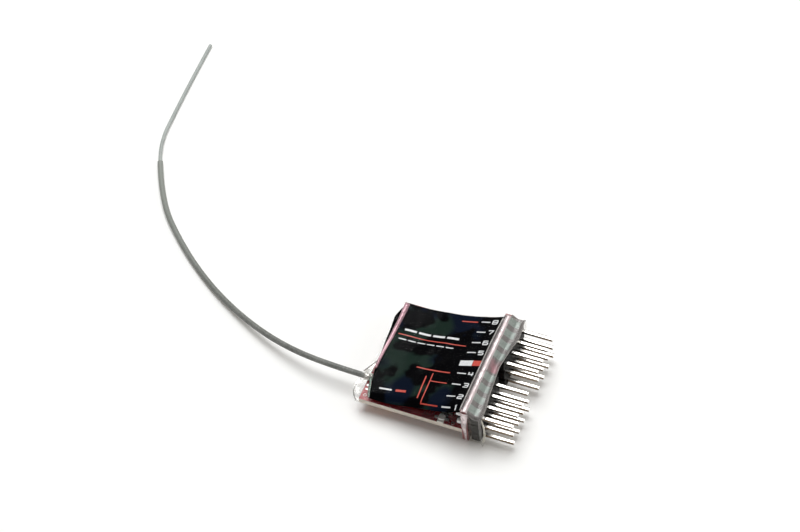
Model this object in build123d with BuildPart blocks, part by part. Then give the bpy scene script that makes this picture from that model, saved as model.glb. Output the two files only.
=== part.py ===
# Eight channel radio control receiver: two circuit boards, pin headers, sleeve, label and aerial.
# Millimetres. X runs from the aerial end to the pin tips, Y from channel 1 to channel 8, Z is up.
# The origin is the middle of the flat underside of the sleeve.
import os
from math import pi, radians, tan

from build123d import *

os.makedirs("parts", exist_ok=True)

# Pin grid of the servo connectors
pin_pitch = 2.54
row_names = ["signal", "power", "ground"]
block_columns = 4
block_gap_columns = 1
pin_square = 0.64
pin_reach = 6.2
pin_tail = 1.0
pin_point_length = 0.55
pin_point_inset = 0.17

# Plastic header blocks
block_depth = 1.6
block_standoff = 0.6
cell_notch = 0.42
block_edge_gap = 0.07

# Circuit boards
header_board_thickness = 1.2
main_board_length = 20.2
main_board_thickness = 1.1
pin_hole_radius = 0.5
pin_hole_sides = 12
lowest_row_margin = 1.55
highest_row_margin = 2.17

# Clear sleeve
sleeve_wall = 0.15
sleeve_lip = 0.5
sleeve_lip_flare = 0.2
sleeve_tail = 1.15
sleeve_mouth_rise = 1.3
sleeve_label_gap = 0.02
sleeve_side_gap = 0.3
sleeve_side_play = 0.03
sleeve_corner = 0.2

# Printed label sheet
label_thickness = 0.1
label_margin = 0.15
label_left_inset = 1.9
label_lip_length = 1.55
label_lip_drop = 0.3
label_rise_near = 1.55
label_rise_far = 1.6
label_drop_near = 0.15
label_drop_far = 0.05
label_sag_near = 1.45
label_sag_far = 2.4
label_far_inset = 1.3
label_far_spread = 0.5
label_steps = 5

# Aerial
coax_diameter = 1.1
tip_diameter = 0.7
core_diameter = 0.35
coax_route = [
    (-12.0, -6.8, 3.95),
    (-22.6, -6.8, 3.95),
    (-33.2, -4.5, 2.55),
    (-43.0, -0.3, 1.2),
    (-52.4, 5.2, 0.55),
    (-61.2, 12.2, 0.55),
    (-69.0, 20.4, 0.55),
    (-73.1, 28.9, 0.55),
]
tip_route = [
    (-73.1, 28.9, 0.55),
    (-75.15, 33.15, 0.55),
    (-75.6, 42.0, 0.42),
    (-75.9, 51.0, 0.36),
    (-76.0, 59.5, 0.35),
]
arc_share = 0.45
braid_joint_length = 1.4
braid_joint_width = 1.7
braid_joint_cover = 0.1
core_length = 1.1
core_joint_width = 0.9
core_joint_cover = 0.12

# Solder
solder_sides = 8
solder_radius = 0.8
solder_height = 0.75
solder_rim = 0.05
solder_slope_inset = 0.3
board_fillet_leg = 0.7
board_fillet_width = 0.8

# Components on the main board: length along X, width along Y, height
controller_size = 7.0
controller_height = 1.3
controller_lead_count = 8
controller_lead_pitch = 0.8
transceiver_size = 4.0
transceiver_height = 0.85
crystal_length = 2.5
crystal_width = 3.2
crystal_base_height = 0.45
crystal_lid_height = 0.3
crystal_lid_margin = 0.2
regulator_length = 2.5
regulator_width = 4.5
regulator_height = 1.1
regulator_lead_count = 3
regulator_lead_pitch = 1.5
inductor_size = 3.0
inductor_height = 1.2
inductor_corner = 0.5
filter_length = 1.25
filter_width = 2.0
filter_height = 0.8
led_length = 2.0
led_width = 1.25
led_base_height = 0.35
led_lens_height = 0.4
led_lens_length = 1.2
transistor_length = 2.9
transistor_width = 1.3
transistor_height = 0.9
chip_length = 1.6
chip_width = 0.8
capacitor_height = 0.8
resistor_height = 0.45
chip_end = 0.3
chip_end_skin = 0.03
bulk_capacitor_length = 3.5
bulk_capacitor_width = 2.8
bulk_capacitor_height = 2.1
bulk_capacitor_spread = 14.8
bulk_capacitor_inset = 4.3
memory_length = 4.9
memory_width = 3.9
memory_height = 1.5
memory_lead_count = 4
memory_lead_pitch = 1.27
lead_thickness = 0.14
lead_width = 0.35
lead_reach = 0.9
lead_root = 0.3
lead_knee = 0.3
lead_slant = 0.15
package_standoff = 0.1
marker_sides = 8
marker_radius = 0.3
marker_depth = 0.05
package_chamfer = 0.08

# Places on the main board: X in from its aerial end, Y from its middle, then a turn in degrees
regulator_place = (2.3, 7.6)
inductor_place = (2.2, 2.6)
crystal_place = (4.5, -1.2)
filter_place = (5.0, -4.6)
transceiver_place = (8.1, -4.2)
end_capacitor_places = [(1.4, -3.6, 90), (1.4, -1.2, 90), (8.1, -7.6), (10.9, -7.6), (6.7, 9.3), (9.7, 9.9)]
end_resistor_places = [(11.9, -4.4, 90)]

# Places measured back from the header board in the same way
controller_place = (7.9, 3.5)
memory_place = (7.9, 0)
transistor_place = (2.7, -7.4)
led_place = (4.2, -10.6)
header_capacitor_places = [(2.1, 0.0, 90), (2.1, 6.0, 90)]
header_resistor_places = [
    (6.8, -6.6),
    (4.7, -5.4),
    (4.7, -3.8),
    (3.7, -9.3),
    (2.1, 3.0, 90),
    (2.1, 8.6, 90),
    (4.6, 9.6),
]

# Places worked out from the sizes above
columns = 2 * block_columns + block_gap_columns
block_width = block_columns * pin_pitch
half_width = columns * pin_pitch / 2 + block_edge_gap
total_length = (
    sleeve_tail + main_board_length + header_board_thickness + block_standoff + block_depth + pin_reach
)
pin_tip_x = total_length / 2
block_front_x = pin_tip_x - pin_reach
block_back_x = block_front_x - block_depth
header_front_x = block_back_x - block_standoff
header_back_x = header_front_x - header_board_thickness
main_left_x = header_back_x - main_board_length
header_bottom_z = sleeve_wall
main_bottom_z = sleeve_wall + bulk_capacitor_height
main_top_z = main_bottom_z + main_board_thickness
rows_from_top = reversed(range(len(row_names)))
row_heights = [header_bottom_z + lowest_row_margin + row * pin_pitch for row in rows_from_top]
header_top_z = row_heights[0] + highest_row_margin
header_board_height = header_top_z - header_bottom_z
column_places = [
    (column - (columns - 1) / 2) * pin_pitch
    for column in range(columns)
    if not block_columns <= column < block_columns + block_gap_columns
]
block_height = len(row_names) * pin_pitch
block_middle_y = (block_columns + block_gap_columns) / 2 * pin_pitch
block_middle_z = row_heights[1]
block_top_z = block_middle_z + block_height / 2
label_left_x = main_left_x + label_left_inset
bulk_capacitor_x = main_left_x + bulk_capacitor_inset
bulk_capacitor_y = bulk_capacitor_spread / 2
floor_half = bulk_capacitor_y + bulk_capacitor_width / 2 + sleeve_side_gap
coax_x, coax_y, coax_z = coax_route[0]
core_x = coax_x + braid_joint_length


def save(piece, name):
    piece.part.label = name
    export_step(piece.part, f"parts/{name}.step")


def plane_facing_x(x, y=0, z=0):
    # Faces the pin tips. Local x runs along +Y and local y along +Z.
    return Plane(origin=(x, y, z), x_dir=(0, 1, 0), z_dir=(1, 0, 0))


def plane_facing_back(x, y=0, z=0):
    # Faces the aerial end. Local x runs along -Y and local y along +Z.
    return Plane(origin=(x, y, z), x_dir=(0, -1, 0), z_dir=(-1, 0, 0))


def near_end(inset, y, turn=0):
    # On the main board's top, measured in from its aerial end
    return Plane(origin=(main_left_x + inset, y, main_top_z)).rotated((0, 0, turn))


def near_header(inset, y, turn=0):
    # On the main board's top, measured back from the header board
    return Plane(origin=(header_back_x - inset, y, main_top_z)).rotated((0, 0, turn))


def under_board(x, y):
    return Plane(origin=(x, y, main_bottom_z), x_dir=(1, 0, 0), z_dir=(0, 0, -1))


# Main board, lying flat
with BuildPart() as main_board:
    with BuildSketch(Plane(origin=(main_left_x + main_board_length / 2, 0, main_bottom_z))):
        Rectangle(main_board_length, 2 * half_width)
    extrude(amount=main_board_thickness)
save(main_board, "main_board")

# Header board, standing across the end of the main board, with a hole for each pin
with BuildPart() as header_board:
    with BuildSketch(plane_facing_x(header_back_x)):
        with Locations((0, header_bottom_z + header_board_height / 2)):
            Rectangle(2 * half_width, header_board_height)
        with Locations([(y, z) for y in column_places for z in row_heights]):
            RegularPolygon(pin_hole_radius, pin_hole_sides, mode=Mode.SUBTRACT)
    extrude(amount=header_board_thickness)
save(header_board, "header_board")


# Header blocks: notched between the columns, with a square hole for each pin
def header_block(middle_y, name):
    notch_side = cell_notch * 2**0.5
    with BuildPart() as block:
        with BuildSketch(plane_facing_x(block_back_x, middle_y, block_middle_z)):
            Rectangle(block_width, block_height)
            with GridLocations(pin_pitch, block_height, block_columns + 1, 2):
                Rectangle(notch_side, notch_side, rotation=45, mode=Mode.SUBTRACT)
            with GridLocations(pin_pitch, pin_pitch, block_columns, len(row_names)):
                Rectangle(pin_square, pin_square, mode=Mode.SUBTRACT)
        extrude(amount=block_depth)
    save(block, name)


header_block(-block_middle_y, "header_block_near")
header_block(block_middle_y, "header_block_far")


# Square pins with tapered points, three for each channel
def header_pin(y, z, name):
    back_x = header_back_x - pin_tail
    with BuildPart() as pin:
        with BuildSketch(plane_facing_x(back_x, y, z)):
            Rectangle(pin_square, pin_square)
        extrude(amount=pin_tip_x - back_x)
        tip = pin.faces().sort_by(Axis.X)[-1]
        chamfer(tip.edges(), length=pin_point_inset, length2=pin_point_length, reference=tip)
    save(pin, name)


for channel, y in enumerate(column_places, start=1):
    for row_name, z in zip(row_names, row_heights):
        header_pin(y, z, f"pin_channel_{channel}_{row_name}")


# Solder cones round the pin tails on the back of the header board.
# The lowest row meets the underside of the main board, which cuts its cones flat.
def solder_row(z, name):
    places = [(y, 0) for y in column_places]
    with BuildPart() as row:
        with BuildSketch(plane_facing_back(header_back_x, z=z)):
            with Locations(places):
                RegularPolygon(solder_radius, solder_sides)
        extrude(amount=solder_height)
        for y in column_places:
            top = row.faces().sort_by_distance((header_back_x - solder_height, y, z))[0]
            slope_height = solder_height - solder_rim
            chamfer(top.edges(), length=solder_slope_inset, length2=slope_height, reference=top)
        with BuildSketch(plane_facing_back(header_back_x, z=z)):
            with Locations(places):
                Rectangle(pin_square, pin_square)
        extrude(amount=solder_height, mode=Mode.SUBTRACT)
        if z < main_bottom_z < z + solder_radius:
            split(bisect_by=Plane.XY.offset(main_bottom_z), keep=Keep.BOTTOM)
    save(row, name)


for row_name, z in zip(row_names, row_heights):
    solder_row(z, f"pin_solder_{row_name}")

# Solder fillets in the corner between the two boards, one between each pair of pin columns
fillet_places = [(column - (columns - 2) / 2) * pin_pitch for column in range(columns - 1)]
fillet_planes = [
    Plane(origin=(header_back_x, y, main_top_z), x_dir=(-1, 0, 0), z_dir=(0, 1, 0)) for y in fillet_places
]
with BuildPart() as board_solder:
    with BuildSketch(*fillet_planes):
        with BuildLine():
            Polyline((0, 0), (board_fillet_leg, 0), (0, board_fillet_leg), close=True)
        make_face()
    extrude(amount=board_fillet_width / 2, both=True)
save(board_solder, "board_solder")


# Label sheet, sagging from the top of the header board to the low end of the main board
def label_station(share):
    # The label's upper face at a share of its length: x, near y, near z, far y, far z
    near_low = main_top_z + label_rise_near
    far_low = main_top_z + label_rise_far
    near_high = header_top_z - label_drop_near
    far_high = header_top_z - label_drop_far
    return (
        label_left_x + share * (header_back_x - label_left_x),
        -half_width + label_margin,
        near_low + (near_high - near_low) * share**label_sag_near,
        half_width - label_far_inset + share * label_far_spread,
        far_low + (far_high - far_low) * share**label_sag_far,
    )


def label_lip_station():
    # The label's end, bent down over the aerial end of the main board
    x, near_y, near_z, far_y, far_z = label_station(0)
    return x - label_lip_length, near_y, near_z - label_lip_drop, far_y, far_z - label_lip_drop


shares = [step / label_steps for step in range(label_steps + 1)]
label_stations = [label_lip_station()] + [label_station(share) for share in shares]

with BuildPart() as label:
    for x, near_y, near_z, far_y, far_z in label_stations:
        with BuildSketch(plane_facing_x(x)):
            with BuildLine():
                Polyline(
                    (near_y, near_z),
                    (near_y, near_z - label_thickness),
                    (far_y, far_z - label_thickness),
                    (far_y, far_z),
                    close=True,
                )
            make_face()
    loft(ruled=True)
save(label, "label_sheet")


# Clear heat-shrink sleeve, pulled tight over the boards, the label and the header blocks.
# A ring of its inside is x and seven corners: near top, near low, bottom near, bottom far,
# far low, far high and far top.
def ring(x, bottom_half, bottom_z, far_high_z, far_top_y, far_top_z, near_top_z):
    side_y = half_width + sleeve_side_play
    corners = [
        (-half_width, near_top_z),
        (-side_y, main_bottom_z),
        (-bottom_half, bottom_z),
        (bottom_half, bottom_z),
        (side_y, main_bottom_z),
        (side_y, far_high_z),
        (far_top_y, far_top_z),
    ]
    return x, corners


def mouth_ring(x):
    # Past the end of the main board, where the sleeve stays open round the aerial
    top_z = main_top_z + sleeve_mouth_rise
    top_y = half_width - label_far_inset + sleeve_side_gap
    bottom_z = main_bottom_z - sleeve_corner
    high_z = main_top_z + sleeve_corner
    return ring(x, floor_half, bottom_z, high_z, top_y, top_z, top_z)


def label_ring(share):
    # Over the label, with a narrow floor under the bulk capacitors that widens to the header board
    x, near_y, near_z, far_y, far_z = label_station(share)
    high_start = main_top_z + sleeve_corner
    high_z = high_start + (header_top_z - sleeve_corner - high_start) * share**label_sag_far
    return ring(
        x,
        floor_half + share * (half_width - floor_half),
        sleeve_wall,
        high_z,
        far_y + sleeve_side_gap,
        far_z + sleeve_label_gap,
        near_z + sleeve_label_gap,
    )


def square_ring(x, top_z):
    # Round the header board and the blocks, where the section is a plain rectangle
    return ring(x, half_width, sleeve_wall, top_z - sleeve_corner, half_width, top_z, top_z)


def ring_face(x, corners):
    with BuildSketch(plane_facing_x(x)) as face:
        with BuildLine():
            Polyline(*corners, close=True)
        make_face()
    return face.sketch


def grown(corners):
    # Corners moved out by the wall: sideways everywhere, and up or down at the top and the bottom
    sides = [-1, -1, -1, 1, 1, 1, 1]
    lifts = [1, 0, -1, -1, 0, 0, 1]
    moved = []
    for (y, z), side, lift in zip(corners, sides, lifts):
        moved.append((y + side * sleeve_wall, z + lift * sleeve_wall))
    return moved


mouth_x = main_left_x - sleeve_tail
lip_x = block_front_x + sleeve_lip
inside_rings = [mouth_ring(mouth_x), mouth_ring(main_left_x)]
inside_rings += [label_ring(share) for share in shares[:-1]]
inside_rings += [
    square_ring(header_back_x, header_top_z),
    square_ring(header_front_x, header_top_z),
    square_ring(block_back_x, block_top_z),
    square_ring(block_front_x, block_top_z),
    square_ring(lip_x, block_top_z + sleeve_lip_flare),
]

past_mouth = (mouth_x - sleeve_wall, inside_rings[0][1])
past_lip = (lip_x + sleeve_wall, inside_rings[-1][1])
inner_faces = [ring_face(x, corners) for x, corners in [past_mouth] + inside_rings + [past_lip]]
outer_faces = [ring_face(x, grown(corners)) for x, corners in inside_rings]

with BuildPart() as sleeve:
    loft(sections=outer_faces, ruled=True)
    loft(sections=inner_faces, ruled=True, mode=Mode.SUBTRACT)
save(sleeve, "heat_shrink_sleeve")


# Aerial: grey coaxial cable, then a bare tip of its inner insulation, both lying where they fall
def corner_radii(route):
    points = [Vector(*point) for point in route]
    runs = [end - start for start, end in zip(points, points[1:])]
    radii = []
    for before, after in zip(runs, runs[1:]):
        shorter = min(before.length, after.length)
        radii.append(arc_share * shorter / tan(radians(before.get_angle(after)) / 2))
    return radii


def cord_tube(route, diameter, name):
    radii = corner_radii(route)
    start = Vector(*route[0])
    with BuildPart() as tube:
        with BuildLine() as path:
            FilletPolyline(*route, radius=radii)
        with BuildSketch(Plane(origin=start, z_dir=Vector(*route[1]) - start)):
            Circle(diameter / 2)
        sweep(path=path.wires()[0])
    length = path.wires()[0].length
    expected = pi * diameter**2 / 4 * length
    print(name, "radii", [round(radius, 1) for radius in radii])
    print(name, "length", round(length, 2), "volume over expected", round(tube.part.volume / expected, 4))
    save(tube, name)


cord_tube(coax_route, coax_diameter, "aerial_coax")
cord_tube(tip_route, tip_diameter, "aerial_tip")

# Braid joint: the mound of solder that holds the end of the coaxial cable to the main board
braid_joint_top_z = coax_z + coax_diameter / 2 + braid_joint_cover
with BuildPart() as braid_joint:
    with BuildSketch(Plane(origin=(coax_x + braid_joint_length / 2, coax_y, main_top_z))):
        Rectangle(braid_joint_length, braid_joint_width)
    extrude(amount=braid_joint_top_z - main_top_z)
    far_top_edge = braid_joint.faces().sort_by(Axis.X)[-1].edges().sort_by(Axis.Z)[-1]
    chamfer(far_top_edge, length=coax_diameter / 3)
save(braid_joint, "aerial_braid_joint")

# Inner conductor, run on from the braid joint to its own solder joint
with BuildPart() as core:
    with BuildSketch(plane_facing_x(core_x, coax_y, coax_z)):
        Circle(core_diameter / 2)
    extrude(amount=core_length)
save(core, "aerial_core")

core_joint_top_z = coax_z + core_diameter / 2 + core_joint_cover
with BuildPart() as core_joint:
    with BuildSketch(Plane(origin=(core_x + core_length + core_joint_width / 2, coax_y, main_top_z))):
        Rectangle(core_joint_width, core_joint_width)
    extrude(amount=core_joint_top_z - main_top_z)
save(core_joint, "aerial_core_joint")


# Gull-wing lead: out of the side of a package, down to the board and out along it
def lead_corners(body_height):
    middle = package_standoff + body_height / 2
    half = lead_thickness / 2
    foot = lead_knee + lead_slant
    return [
        (-lead_root, middle + half),
        (lead_knee, middle + half),
        (foot, lead_thickness),
        (lead_reach, lead_thickness),
        (lead_reach, 0),
        (foot - lead_thickness, 0),
        (lead_knee - lead_thickness, middle - half),
        (-lead_root, middle - half),
    ]


def lead_planes(base, reach, count, pitch, turn):
    turned = base.rotated((0, 0, turn))
    planes = []
    for index in range(count):
        along = (index - (count - 1) / 2) * pitch
        origin = turned.from_local_coords((reach, along, 0))
        planes.append(Plane(origin=origin, x_dir=turned.x_dir, z_dir=turned.y_dir * -1))
    return planes


def marker_dot(base, length, width, top):
    with BuildSketch(base.offset(top)) as dot:
        with Locations((2 * marker_radius - length / 2, width / 2 - 2 * marker_radius)):
            RegularPolygon(marker_radius, marker_sides)
    return dot.sketch


def leaded_package(base, size, count, pitch, turns, name):
    length, width, height = size
    with BuildPart() as package:
        with BuildSketch(base.offset(package_standoff)):
            Rectangle(length, width)
        extrude(amount=height)
        chamfer(package.edges(), package_chamfer)
        dot = marker_dot(base, length, width, package_standoff + height)
        extrude(dot, amount=-marker_depth, mode=Mode.SUBTRACT)
        for turn in turns:
            reach = length / 2 if turn % 180 == 0 else width / 2
            with BuildSketch(*lead_planes(base, reach, count, pitch, turn)):
                with BuildLine():
                    Polyline(*lead_corners(height), close=True)
                make_face()
            extrude(amount=lead_width / 2, both=True)
    save(package, name)


leaded_package(
    near_header(*controller_place),
    (controller_size, controller_size, controller_height),
    controller_lead_count,
    controller_lead_pitch,
    [0, 90, 180, 270],
    "controller_chip",
)
leaded_package(
    near_end(*regulator_place),
    (regulator_length, regulator_width, regulator_height),
    regulator_lead_count,
    regulator_lead_pitch,
    [0],
    "voltage_regulator",
)
leaded_package(
    under_board(header_back_x - memory_place[0], memory_place[1]),
    (memory_length, memory_width, memory_height),
    memory_lead_count,
    memory_lead_pitch,
    [90, 270],
    "memory_chip",
)


# Packages that sit flat on the board
def flat_package(base, length, width, height, name):
    with BuildPart() as package:
        with BuildSketch(base):
            Rectangle(length, width)
        extrude(amount=height)
        dot = marker_dot(base, length, width, height)
        extrude(dot, amount=-marker_depth, mode=Mode.SUBTRACT)
    save(package, name)


def cut_corner_package(base, size, corner, name):
    length, width, height = size
    with BuildPart() as package:
        with BuildSketch(base) as outline:
            Rectangle(length, width)
            chamfer(outline.vertices(), corner)
        extrude(amount=height)
    save(package, name)


transceiver_plane = near_end(*transceiver_place)
flat_package(transceiver_plane, transceiver_size, transceiver_size, transceiver_height, "transceiver_chip")
transistor_plane = near_header(*transistor_place)
flat_package(transistor_plane, transistor_length, transistor_width, transistor_height, "transistor")

crystal_plane = near_end(*crystal_place)
lid_plane = crystal_plane.offset(crystal_base_height)
base_size = (crystal_length, crystal_width, crystal_base_height)
lid_length = crystal_length - 2 * crystal_lid_margin
lid_width = crystal_width - 2 * crystal_lid_margin
lid_size = (lid_length, lid_width, crystal_lid_height)
cut_corner_package(crystal_plane, base_size, crystal_lid_margin / 2, "crystal_base")
cut_corner_package(lid_plane, lid_size, crystal_lid_margin, "crystal_lid")

inductor_dimensions = (inductor_size, inductor_size, inductor_height)
cut_corner_package(near_end(*inductor_place), inductor_dimensions, inductor_corner, "power_inductor")

led_plane = near_header(*led_place)
with BuildPart() as led:
    with BuildSketch(led_plane):
        Rectangle(led_length, led_width)
    extrude(amount=led_base_height)
    with BuildSketch(led_plane.offset(led_base_height)):
        Rectangle(led_lens_length, led_width)
    extrude(amount=led_lens_height)
save(led, "status_led")


# Chip components: a body with a slightly larger cap at each end
def capped_chips(planes, length, width, height, name):
    with BuildPart() as chips:
        with BuildSketch(*planes):
            Rectangle(length, width - 2 * chip_end_skin)
        extrude(amount=height - chip_end_skin)
        with BuildSketch(*planes):
            with GridLocations(length - chip_end, 0, 2, 1):
                Rectangle(chip_end, width)
        extrude(amount=height)
    save(chips, name)


capacitor_planes = [near_end(*place) for place in end_capacitor_places]
capacitor_planes += [near_header(*place) for place in header_capacitor_places]
resistor_planes = [near_end(*place) for place in end_resistor_places]
resistor_planes += [near_header(*place) for place in header_resistor_places]
capped_chips(capacitor_planes, chip_length, chip_width, capacitor_height, "ceramic_capacitors")
capped_chips(resistor_planes, chip_length, chip_width, resistor_height, "chip_resistors")
capped_chips([near_end(*filter_place)], filter_length, filter_width, filter_height, "aerial_filter")
bulk_size = (bulk_capacitor_length, bulk_capacitor_width, bulk_capacitor_height)
capped_chips([under_board(bulk_capacitor_x, -bulk_capacitor_y)], *bulk_size, "bulk_capacitor_near")
capped_chips([under_board(bulk_capacitor_x, bulk_capacitor_y)], *bulk_size, "bulk_capacitor_far")
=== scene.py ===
# Eight channel radio control receiver: boards, servo pins, header housings, label, clear sleeve and aerial.
# The shapes are worked out in millimetres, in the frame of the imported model, and turned to metres in their
# meshes. Lengths inside the finishes are in metres, as Blender's own.
from math import cos, pi, radians, sin

import bmesh
import bpy
import numpy as np
from mathutils import Matrix, Vector, noise


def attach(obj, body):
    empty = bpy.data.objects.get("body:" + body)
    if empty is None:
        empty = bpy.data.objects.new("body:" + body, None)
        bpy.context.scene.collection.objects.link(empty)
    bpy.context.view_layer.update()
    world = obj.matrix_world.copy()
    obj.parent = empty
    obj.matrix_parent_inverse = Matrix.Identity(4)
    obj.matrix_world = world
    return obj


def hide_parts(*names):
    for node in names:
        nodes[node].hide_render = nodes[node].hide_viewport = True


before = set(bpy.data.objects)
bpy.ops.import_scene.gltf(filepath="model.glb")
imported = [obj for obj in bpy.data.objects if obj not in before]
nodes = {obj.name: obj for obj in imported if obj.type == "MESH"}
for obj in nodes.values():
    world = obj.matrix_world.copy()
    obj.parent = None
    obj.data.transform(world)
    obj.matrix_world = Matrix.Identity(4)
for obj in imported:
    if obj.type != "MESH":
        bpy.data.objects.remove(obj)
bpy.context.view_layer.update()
scene = bpy.context.scene
scene.view_settings.view_transform = "Standard"
MM = 0.001


def new_object(name, data):
    made = bpy.data.objects.new(name, data)
    scene.collection.objects.link(made)
    return made


# Camera: the outermost ground pin of channel 1 stands at a known pixel of the frame
frame_width, frame_height = 800, 532
pixels_per_mm = 5.5456
camera_distance = 600.0
turn, tilt, roll = radians(27.3114), radians(52.9673), radians(-6.5645)
anchor = Vector((15.475, -10.16, 1.70))
anchor_pixel = (514.33, 442.96)

back = Vector((sin(turn) * cos(tilt), -cos(turn) * cos(tilt), sin(tilt)))
level = Vector((cos(turn), sin(turn), 0))
upright = back.cross(level)
across = cos(roll) * level + sin(roll) * upright
upward = -sin(roll) * level + cos(roll) * upright
right_by = (anchor_pixel[0] - frame_width / 2) / pixels_per_mm
down_by = (anchor_pixel[1] - frame_height / 2) / pixels_per_mm
eye = (anchor - across * right_by + upward * down_by + camera_distance * back) * MM

lens = bpy.data.cameras.new("camera")
lens.sensor_width = 36
lens.lens = pixels_per_mm * camera_distance * lens.sensor_width / frame_width
lens.clip_start, lens.clip_end = 0.05, 20
camera = new_object("camera", lens)
camera.matrix_world = Matrix.Translation(eye) @ Matrix((across, upward, back)).transposed().to_4x4()
scene.camera = camera


# Sizes of the object, in millimetres
pitch = 2.54
pin_width = 0.64
column_ys = [side * (step + 1) * pitch for side in (-1, 1) for step in range(4)]
row_names = ["signal", "power", "ground"]
row_zs = [6.78, 4.24, 1.70]
board_left, board_bottom, board_top = -14.325, 2.25, 3.35
header_back, header_front, header_top = 5.875, 7.075, 8.95
block_back, block_front, block_top = 7.675, 9.275, 8.05
half_width = 11.5
pin_back, pin_tip = 4.875, 15.475
label_left, label_near, label_thickness = -12.425, -11.35, 0.10
label_length = header_back - label_left
fold_thickness = 0.08

# The aerial's courses, in metres
coax_route = [
    (-0.0120, -0.0068, 0.00395),
    (-0.0226, -0.0068, 0.00395),
    (-0.0332, -0.0045, 0.00255),
    (-0.0430, -0.0003, 0.00120),
    (-0.0524, 0.0052, 0.00055),
    (-0.0612, 0.0122, 0.00055),
    (-0.0690, 0.0204, 0.00055),
    (-0.0731, 0.0289, 0.00055),
]
tip_route = [
    (-0.0731, 0.0289, 0.00055),
    (-0.07515, 0.03315, 0.00055),
    (-0.0756, 0.0420, 0.00042),
    (-0.0759, 0.0510, 0.00036),
    (-0.0760, 0.0595, 0.00035),
]


# Node trees
FLOAT, VECTOR = "NodeSocketFloat", "NodeSocketVector"


class Net:
    # Short ways to write a node tree
    def __init__(self, tree):
        self.tree = tree

    def wire(self, value, socket):
        if isinstance(value, bpy.types.NodeSocket):
            self.tree.links.new(value, socket)
        elif socket.type == "RGBA":
            socket.default_value = (*value, 1.0)
        else:
            socket.default_value = value

    def add(self, kind, inputs=None, **settings):
        node = self.tree.nodes.new(kind)
        for name, value in settings.items():
            setattr(node, name, value)
        for key, value in (inputs or {}).items():
            self.wire(value, node.inputs[key])
        return node

    def made(self, kind, inputs=None, **settings):
        return self.add(kind, inputs, **settings).outputs[0]

    def math(self, operation, a, b=0.0, clamp=False):
        return self.made("ShaderNodeMath", {0: a, 1: b}, operation=operation, use_clamp=clamp)

    def times(self, a, b):
        return self.math("MULTIPLY", a, b)

    def plus(self, a, b, clamp=False):
        return self.math("ADD", a, b, clamp)

    def minus(self, a, b):
        return self.math("SUBTRACT", a, b)

    def vector_math(self, operation, a, b=(0, 0, 0)):
        return self.add("ShaderNodeVectorMath", {0: a, 1: b}, operation=operation).outputs

    def spread(self, value, low, high, to_low=0.0, to_high=1.0, smooth=False):
        kind = "SMOOTHSTEP" if smooth else "LINEAR"
        inputs = {0: value, 1: low, 2: high, 3: to_low, 4: to_high}
        return self.made("ShaderNodeMapRange", inputs, interpolation_type=kind)

    def mixed(self, share, first, second):
        node = self.add("ShaderNodeMix", {"Factor": share}, data_type="RGBA")
        colours = [socket for socket in node.inputs if socket.type == "RGBA"]
        self.wire(first, colours[0])
        self.wire(second, colours[1])
        return [socket for socket in node.outputs if socket.type == "RGBA"][0]

    def place(self):
        return self.add("ShaderNodeTexCoord").outputs["Object"]

    def place_parts(self):
        return self.add("ShaderNodeSeparateXYZ", {0: self.place()}).outputs

    def cloud(self, scale, detail):
        inputs = {"Vector": self.place(), "Scale": scale, "Detail": detail}
        return self.add("ShaderNodeTexNoise", inputs).outputs

    def stripes(self, along, spacing, wave="SINE"):
        return self.math(wave, self.times(self.math("DIVIDE", along, spacing), 2 * pi))

    def bumped(self, height, strength, depth, **normal):
        inputs = {"Height": height, "Strength": strength, "Distance": depth, **normal}
        return self.made("ShaderNodeBump", inputs)

    def group(self, tree, **values):
        inputs = {label.replace("_", " "): value for label, value in values.items()}
        return self.add("ShaderNodeGroup", inputs, node_tree=tree).outputs

    def mottle(self, scale, detail, low=0.0, high=1.0):
        return self.group(mottle, Scale=scale, Detail=detail, Low=low, High=high)["Value"]


def new_group(name, inputs, outputs, kind="ShaderNodeTree"):
    # An input has a usual value, which is a number or a vector, or is a kind of socket
    tree = bpy.data.node_groups.new(name, kind)
    for label, usual in inputs.items():
        if isinstance(usual, str):
            tree.interface.new_socket(label, in_out="INPUT", socket_type=usual)
        else:
            socket_kind = VECTOR if isinstance(usual, tuple) else FLOAT
            tree.interface.new_socket(label, in_out="INPUT", socket_type=socket_kind).default_value = usual
    for label, socket_kind in outputs.items():
        tree.interface.new_socket(label, in_out="OUTPUT", socket_type=socket_kind)
    net = Net(tree)
    return net, net.add("NodeGroupInput").outputs, net.add("NodeGroupOutput").inputs


# Effects that several finishes share
def make_mottle():
    inputs = {"Scale": 1000.0, "Detail": 3.0, "Low": 0.0, "High": 1.0}
    net, given, result = new_group("mottle", inputs, {"Value": FLOAT})
    cloud = net.cloud(given["Scale"], given["Detail"])["Fac"]
    net.wire(net.spread(cloud, 0.3, 0.7, given["Low"], given["High"]), result["Value"])
    return net.tree


def make_grain():
    inputs = {"Scale": 9000.0, "Strength": 0.3, "Depth": 0.00001, "Normal": (0.0, 0.0, 1.0)}
    net, given, result = new_group("grain", inputs, {"Normal": VECTOR})
    cloud = net.cloud(given["Scale"], 2.0)["Fac"]
    normal = net.bumped(cloud, given["Strength"], given["Depth"], Normal=given["Normal"])
    net.wire(normal, result["Normal"])
    return net.tree


def make_soft_edges():
    # A rounded normal at sharp edges, and a mask of where it turns
    net, given, result = new_group("soft edges", {"Radius": 0.00005}, {"Normal": VECTOR, "Edge": FLOAT})
    rounded = net.made("ShaderNodeBevel", {"Radius": given["Radius"]}, samples=4)
    true = net.add("ShaderNodeNewGeometry").outputs["Normal"]
    along = net.vector_math("DOT_PRODUCT", rounded, true)["Value"]
    net.wire(rounded, result["Normal"])
    net.wire(net.spread(along, 0.995, 0.8), result["Edge"])
    return net.tree


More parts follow.
